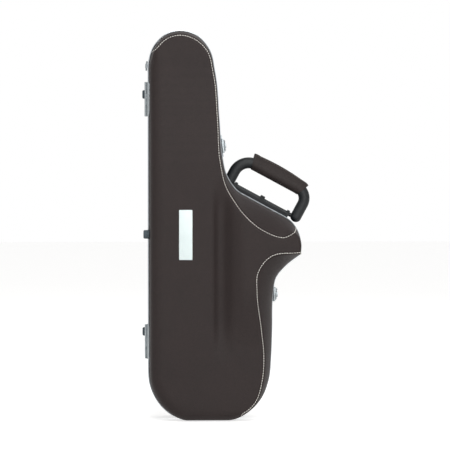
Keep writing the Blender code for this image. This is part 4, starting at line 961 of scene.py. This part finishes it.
for node, side in (("upper_base_foot", "base"), ("lower_base_foot", "base"), ("lid_foot", "lid")):
    low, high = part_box(node)
    centre = Vector((high.x, (low.y + high.y) / 2, (low.z + high.z) / 2))
    reach, wide, bore = high.x - low.x, FOOT_WIDTH / 2, SCREW_RADIUS + SCREW_CLEARANCE
    section = [(wide - inset, height) for inset, height in FOOT_SIDE]
    section += [(wide - inset, reach - depth) for inset, depth in FOOT_SHOULDER]
    section += [(bore + flare, reach - depth) for flare, depth in FOOT_BORE]
    section.append((FOOT_FLOOR_RADIUS, reach - SCREW_SINK))
    shape = bmesh.new()
    rings = [ring_of(shape, centre - Vector((height, 0, 0)), Vector((0, radius, 0)), Vector((0, 0, radius)),
                     FOOT_SIDES) for radius, height in section]
    bridge(shape, rings)
    shape.faces.new(rings[0])
    shape.faces.new(rings[-1])
    piece = new_piece(node + "_rubber", as_mesh(node + "_rubber", shape), rubber, smooth_angle=40)
    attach(piece, side)
    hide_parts(node)

    shape = bmesh.new()
    bmesh.ops.create_grid(shape, x_segments=SCREW_NET, y_segments=SCREW_NET, size=1)
    for vertex in shape.verts:
        x, y = vertex.co.x, vertex.co.y
        round_x, round_y = x * math.sqrt(1 - y * y / 2), y * math.sqrt(1 - x * x / 2)
        radius = math.hypot(round_x, round_y)
        rise = SCREW_DOME * (1 - radius ** 4)
        if min(abs(round_x), abs(round_y)) < CROSS_HALF_WIDTH and radius < CROSS_REACH:
            rise -= CROSS_DEPTH * (1 - radius ** 3)
        vertex.co = centre + Vector((SCREW_SINK - SCREW_SEAT - reach - rise, round_x * SCREW_RADIUS,
                                     round_y * SCREW_RADIUS))
    rimmed = bmesh.ops.extrude_edge_only(shape, edges=[edge for edge in shape.edges if edge.is_boundary])
    lowered = [item for item in rimmed["geom"] if isinstance(item, bmesh.types.BMVert)]
    bmesh.ops.translate(shape, vec=(SCREW_RIM, 0, 0), verts=lowered)
    bmesh.ops.contextual_create(shape, geom=[edge for edge in shape.edges if edge.is_boundary])
    piece = new_piece(node + "_cross_screw", as_mesh(node + "_cross_screw", shape), steel, smooth_angle=40)
    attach(piece, side)
    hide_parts(node + "_screw")

# Draw latches
# Pressed and nickel-plated: a plate with two ears, a lever bent from sheet, a claw that hooks a keeper.
# Two pins hold them together; their corners are broken in the tumbler before plating.
LATCH_EDGE = 0.0002
for latch in ("upper_latch", "lower_latch"):
    for part in ("base", "lever", "claw", "keeper"):
        softened(merged(f"{latch}_{part}"), f"{latch}_{part}", nickel, LATCH_EDGE)
    for pin in ("lever_pin", "claw_pin"):
        round_bar(f"{latch}_{pin}", steel)

# Handle
# A steel core moulded over in black rubber swings on a rod in a glass-filled nylon bracket. A leather
# sleeve is wrapped round the grip, and its edges are sewn together outside, where they flare at the ends.
swing = next(row for row in frame["joints"] if row["name"] == "handle_swing")
ROD_CENTRE = Vector(swing["pos_m"])
ALONG = Vector(swing["axis"])
BACKWARD = Vector((0, 1, 0))
OUTWARD = ALONG.cross(BACKWARD)
MOULDED_EDGE = 0.0005
# Two thin walls make the rail under the rod a trough: their length, thickness and height, and their middle
TROUGH_WALL = (0.095, 0.0016, 0.004)
TROUGH_SPREAD = 0.0049
TROUGH_DROP = 0.0024
# The rubber loop: each leg's distance from the rod's middle, and each corner's radius
LOOP_LEGS = (0.0633, 0.0660)
LOOP_CORNERS = (0.0275, 0.0215)
LOOP_RISE = 0.0477
LOOP_RADIUS = 0.0095
LOOP_FLATNESS = 0.86
LOOP_SIDES = 36
LEG_END_BELOW = 0.0075
LEG_END_ROUND = 0.0085
LEG_END_SHARE = 0.15
LEG_END_STEPS = 10
LEG_STEPS = 11
CORNER_STEPS = 19
TOP_STEPS = 15
# The sleeve: its ends along the rod, and its sewn ridge, highest near the middle and flared at both ends
SLEEVE_ENDS = (-0.0435, 0.0545)
SLEEVE_THICKNESS = 0.0018
SLEEVE_INSIDE = 0.0001
SLEEVE_SIDES = 64
SLEEVE_HEM = 0.0004
SLEEVE_HEM_LENGTH = 0.004
RIDGE_HEIGHT = 0.0177
RIDGE_FALL = 0.0033
RIDGE_MIDDLE = -0.004
RIDGE_HALF_LENGTH = 0.050
RIDGE_TURN = 1.1
RIDGE_POWER = 1.35
FLARE_HEIGHT = 0.0020
FLARE_LENGTH = 0.009
RIDGE_STITCH_TURN = 0.30
RIDGE_STITCH_LIFT = 0.0002
# Real fibres, moulded grain and powder are two to four times finer; drawn coarser so that they show
FIBRE_WIDTH = 0.0009
SKIN_WIDTH = 0.0012
POWDER_WIDTH = 0.0008
BLOOM_WIDTH = 0.025
NYLON_HEX = "0e1316"
NYLON_DARK_HEX = "06090b"
GRIP_HEX = "14191c"
GRIP_DARK_HEX = "0a0d0f"
ROD_HEX = "0b1013"
SLEEVE_HEX = "2e2624"
SLEEVE_DARK_HEX = "1d1716"
BROWN_THREAD_HEX = "584d47"
BROWN_THREAD_DARK_HEX = "3a322e"

# Glass-filled nylon, moulded: nearly black and dull, with a fine speckle where the fibres come up.
nylon, tree, shader = new_material("filled_nylon", Roughness=0.5, Specular_IOR_Level=0.3)
mottled(tree, shader, FIBRE_WIDTH, detail=3, colours=(NYLON_DARK_HEX, NYLON_HEX))
pebbled(tree, shader, FIBRE_WIDTH, detail=3, strength=0.3)

# Black rubber from a polished mould: a soft shine, and a faint grey bloom in wide patches.
grip_rubber, tree, shader = new_material("black_moulded_rubber", Roughness=0.5, Specular_IOR_Level=0.35)
mottled(tree, shader, BLOOM_WIDTH, detail=3, colours=(GRIP_DARK_HEX, GRIP_HEX))
pebbled(tree, shader, SKIN_WIDTH, detail=3, strength=0.2)

# Powder-coated steel: black and half bright, with the even pebble of baked powder.
coated_rod, tree, shader = new_material("black_coated_steel", Roughness=0.35, Specular_IOR_Level=0.35,
                                        Base_Color=tone(ROD_HEX))
pebbled(tree, shader, POWDER_WIDTH, detail=2, strength=0.15)


def over_rod(x, y, z):
    """A point by its place along the rod, behind it and out from it."""
    return ROD_CENTRE + ALONG * x + BACKWARD * y + OUTWARD * z


def recoloured(material, name, dark_hex, light_hex):
    """The same material with two other colours."""
    copy = material.copy()
    copy.name = name
    for item in copy.node_tree.nodes:
        if item.bl_idname == "ShaderNodeMix":
            item.inputs[6].default_value = tone(dark_hex)
            item.inputs[7].default_value = tone(light_hex)
    return copy


trough = merged("handle_bracket")
turned = Matrix((ALONG, BACKWARD, OUTWARD)).transposed().to_4x4()
for way in (-1, 1):
    place = Matrix.Translation(over_rod(0, way * TROUGH_SPREAD, -TROUGH_DROP))
    bmesh.ops.create_cube(trough, size=1, matrix=place @ turned @ Matrix.Diagonal((*TROUGH_WALL, 1)))
softened(trough, "handle_bracket", nylon, MOULDED_EDGE)
softened(merged("handle_clip"), "handle_clip", nylon, MOULDED_EDGE)
round_bar("handle_rod", coated_rod)

legs = []
for corner, reach in zip(LOOP_CORNERS, LOOP_LEGS):
    heights = [LEG_END_ROUND * (1 - math.cos(angle)) - LEG_END_BELOW
               for angle in np.linspace(0, math.pi / 2, LEG_END_STEPS)[:-1]]
    heights += list(np.linspace(LEG_END_ROUND - LEG_END_BELOW, LOOP_RISE - corner, LEG_STEPS)[:-1])
    leg = [(-reach, height) for height in heights]
    leg += [(corner * (1 + math.cos(angle)) - reach, LOOP_RISE - corner * (1 - math.sin(angle)))
            for angle in np.linspace(math.pi, math.pi / 2, CORNER_STEPS)]
    legs.append(leg)
top = np.linspace(legs[0][-1][0], -legs[1][-1][0], TOP_STEPS)[1:-1]
path = np.array(legs[0] + [(x, LOOP_RISE) for x in top] + [(-x, z) for x, z in reversed(legs[1])])
lengths = np.concatenate(([0], np.cumsum(np.linalg.norm(np.diff(path, axis=0), axis=1))))


def path_way(index):
    """The direction of the loop's centre line at a point."""
    along = path[min(index + 1, len(path) - 1)] - path[max(index - 1, 0)]
    return along / np.linalg.norm(along)


def ridge_share(turn):
    """How much of the ridge's height is left at a turn round the sleeve."""
    return max(0.0, 1 - turn / RIDGE_TURN) ** RIDGE_POWER


def loop_rings(shape, picks, radius_of, sides=LOOP_SIDES, ridge_of=None):
    """Rings of vertices round the loop's centre line at the picked points, joined to a tube."""
    rings = []
    for index in picks:
        along = path_way(index)
        radius = radius_of(index)
        ring = []
        for angle in np.arange(sides) * math.tau / sides:
            reach = radius * math.cos(angle)
            if ridge_of:
                reach += ridge_of(index) * ridge_share(min(angle, math.tau - angle))
            x, z = path[index][0] - along[1] * reach, path[index][1] + along[0] * reach
            ring.append(shape.verts.new(over_rod(x, radius * LOOP_FLATNESS * math.sin(angle), z)))
        rings.append(ring)
    bridge(shape, rings)
    return rings


def leg_radius(index):
    """The loop's radius at a point: rounded off at both ends of the legs."""
    ends = min(lengths[index], lengths[-1] - lengths[index])
    return LOOP_RADIUS * max(LEG_END_SHARE, math.sqrt(1 - max(0.0, 1 - ends / LEG_END_ROUND) ** 2))


shape = bmesh.new()
rings = loop_rings(shape, range(len(path)), leg_radius)
shape.faces.new(rings[0])
shape.faces.new(rings[-1])
piece = new_piece("rubber_loop", as_mesh("rubber_loop", shape), grip_rubber, smooth_angle=50)
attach(piece, "handle")
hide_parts("handle_loop")

picks = [index for index, (x, z) in enumerate(path)
         if SLEEVE_ENDS[0] <= x <= SLEEVE_ENDS[1] and z > LOOP_RISE / 2]


def from_hem(index):
    """How far a point of the sleeve is from its nearer end."""
    return min(lengths[index] - lengths[picks[0]], lengths[picks[-1]] - lengths[index])


def ridge_height(index):
    """How far the sewn edges stand out: most at the middle, where the sleeve is padded."""
    along = (path[index][0] - RIDGE_MIDDLE) / RIDGE_HALF_LENGTH
    flare = FLARE_HEIGHT * (1 - smooth(from_hem(index), 0, FLARE_LENGTH))
    return RIDGE_HEIGHT - RIDGE_FALL * along * along - LOOP_RADIUS - SLEEVE_THICKNESS + flare


def sleeve_radius(index):
    """The sleeve's radius at a point: pulled in a little where its ends are turned under."""
    return LOOP_RADIUS + SLEEVE_THICKNESS - SLEEVE_HEM * (1 - smooth(from_hem(index), 0, SLEEVE_HEM_LENGTH))


# The same hide as on the shells, but softer and paler with handling.
sleeve_leather = recoloured(leather, "leather_sleeve", SLEEVE_DARK_HEX, SLEEVE_HEX)
shape = bmesh.new()
outer = loop_rings(shape, picks, sleeve_radius, SLEEVE_SIDES, ridge_height)
inner = loop_rings(shape, picks, lambda index: LOOP_RADIUS + SLEEVE_INSIDE, SLEEVE_SIDES)
for end in (0, -1):
    bridge(shape, (outer[end], inner[end]))
piece = new_piece("leather_sleeve", as_mesh("leather_sleeve", shape), sleeve_leather, smooth_angle=45)
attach(piece, "handle")
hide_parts("handle_grip")

# The same waxed thread in brown, so that the sleeve's sewing hardly shows.
dark_thread = recoloured(thread, "dark_waxed_thread", BROWN_THREAD_DARK_HEX, BROWN_THREAD_HEX)
for label, way in (("front", -1), ("back", 1)):
    line = []
    for index in picks[1:-1]:
        along = path_way(index)
        radius = sleeve_radius(index)
        reach = radius * math.cos(RIDGE_STITCH_TURN) + ridge_height(index) * ridge_share(RIDGE_STITCH_TURN)
        reach += RIDGE_STITCH_LIFT
        x, z = path[index][0] - along[1] * reach, path[index][1] + along[0] * reach
        line.append(over_rod(x, way * radius * LOOP_FLATNESS * math.sin(RIDGE_STITCH_TURN), z))
    piece = sew(f"sleeve_{label}_stitches", line, dark_thread)
    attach(piece, "handle")

# Strap rings
# Bent nickel-plated wire rings, brazed shut, each held under a bridge pressed in a small plate.
# They carry a shoulder strap's hooks at the neck and low on the back.
WIRE_RADIUS = 0.0014
WIRE_SIDES = 14
RING_WIDTH = 0.014
RING_REACH = 0.012
RING_CORNER = 0.002
BRIDGED_STEPS = 9
RING_CORNER_STEPS = 6
BOW_STEPS = 25
wide = RING_WIDTH / 2
corner = [(wide - RING_CORNER * (1 - math.sin(angle)), RING_CORNER * (1 - math.cos(angle)))
          for angle in np.linspace(0, math.pi / 2, RING_CORNER_STEPS)[1:]]
line = [(x, 0.0) for x in np.linspace(RING_CORNER - wide, wide - RING_CORNER, BRIDGED_STEPS)] + corner
line += [(wide * math.cos(angle), RING_REACH / 2 * (1 + math.sin(angle)))
         for angle in np.linspace(0, math.pi, BOW_STEPS)]
line = np.array(line + [(-x, z) for x, z in reversed(corner)])
for node in ("upper_strap_ring", "lower_strap_ring"):
    softened(merged(node + "_plate"), node + "_plate", nickel, LATCH_EDGE)
    body = frame["nodes"][node]["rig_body"]
    swing = next(row for row in frame["joints"] if row["child"] == body)
    pivot, across = Vector(swing["pos_m"]), Vector(swing["axis"])
    hang = Vector(np.mean([vertex.co for vertex in frame["nodes"][node].data.vertices], axis=0)) - pivot
    hang = (hang - across * hang.dot(across)).normalized()
    square = across.cross(hang) * WIRE_RADIUS
    shape = bmesh.new()
    rings = []
    for index, (x, z) in enumerate(line):
        along = line[(index + 1) % len(line)] - line[index - 1]
        along /= np.linalg.norm(along)
        side = (across * along[1] - hang * along[0]) * WIRE_RADIUS
        rings.append(ring_of(shape, pivot + across * x + hang * z, side, square, WIRE_SIDES))
    bridge(shape, rings[-1:] + rings)
    piece = new_piece(node + "_wire", as_mesh(node + "_wire", shape), nickel, smooth_angle=60)
    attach(piece, body)
    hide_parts(node)
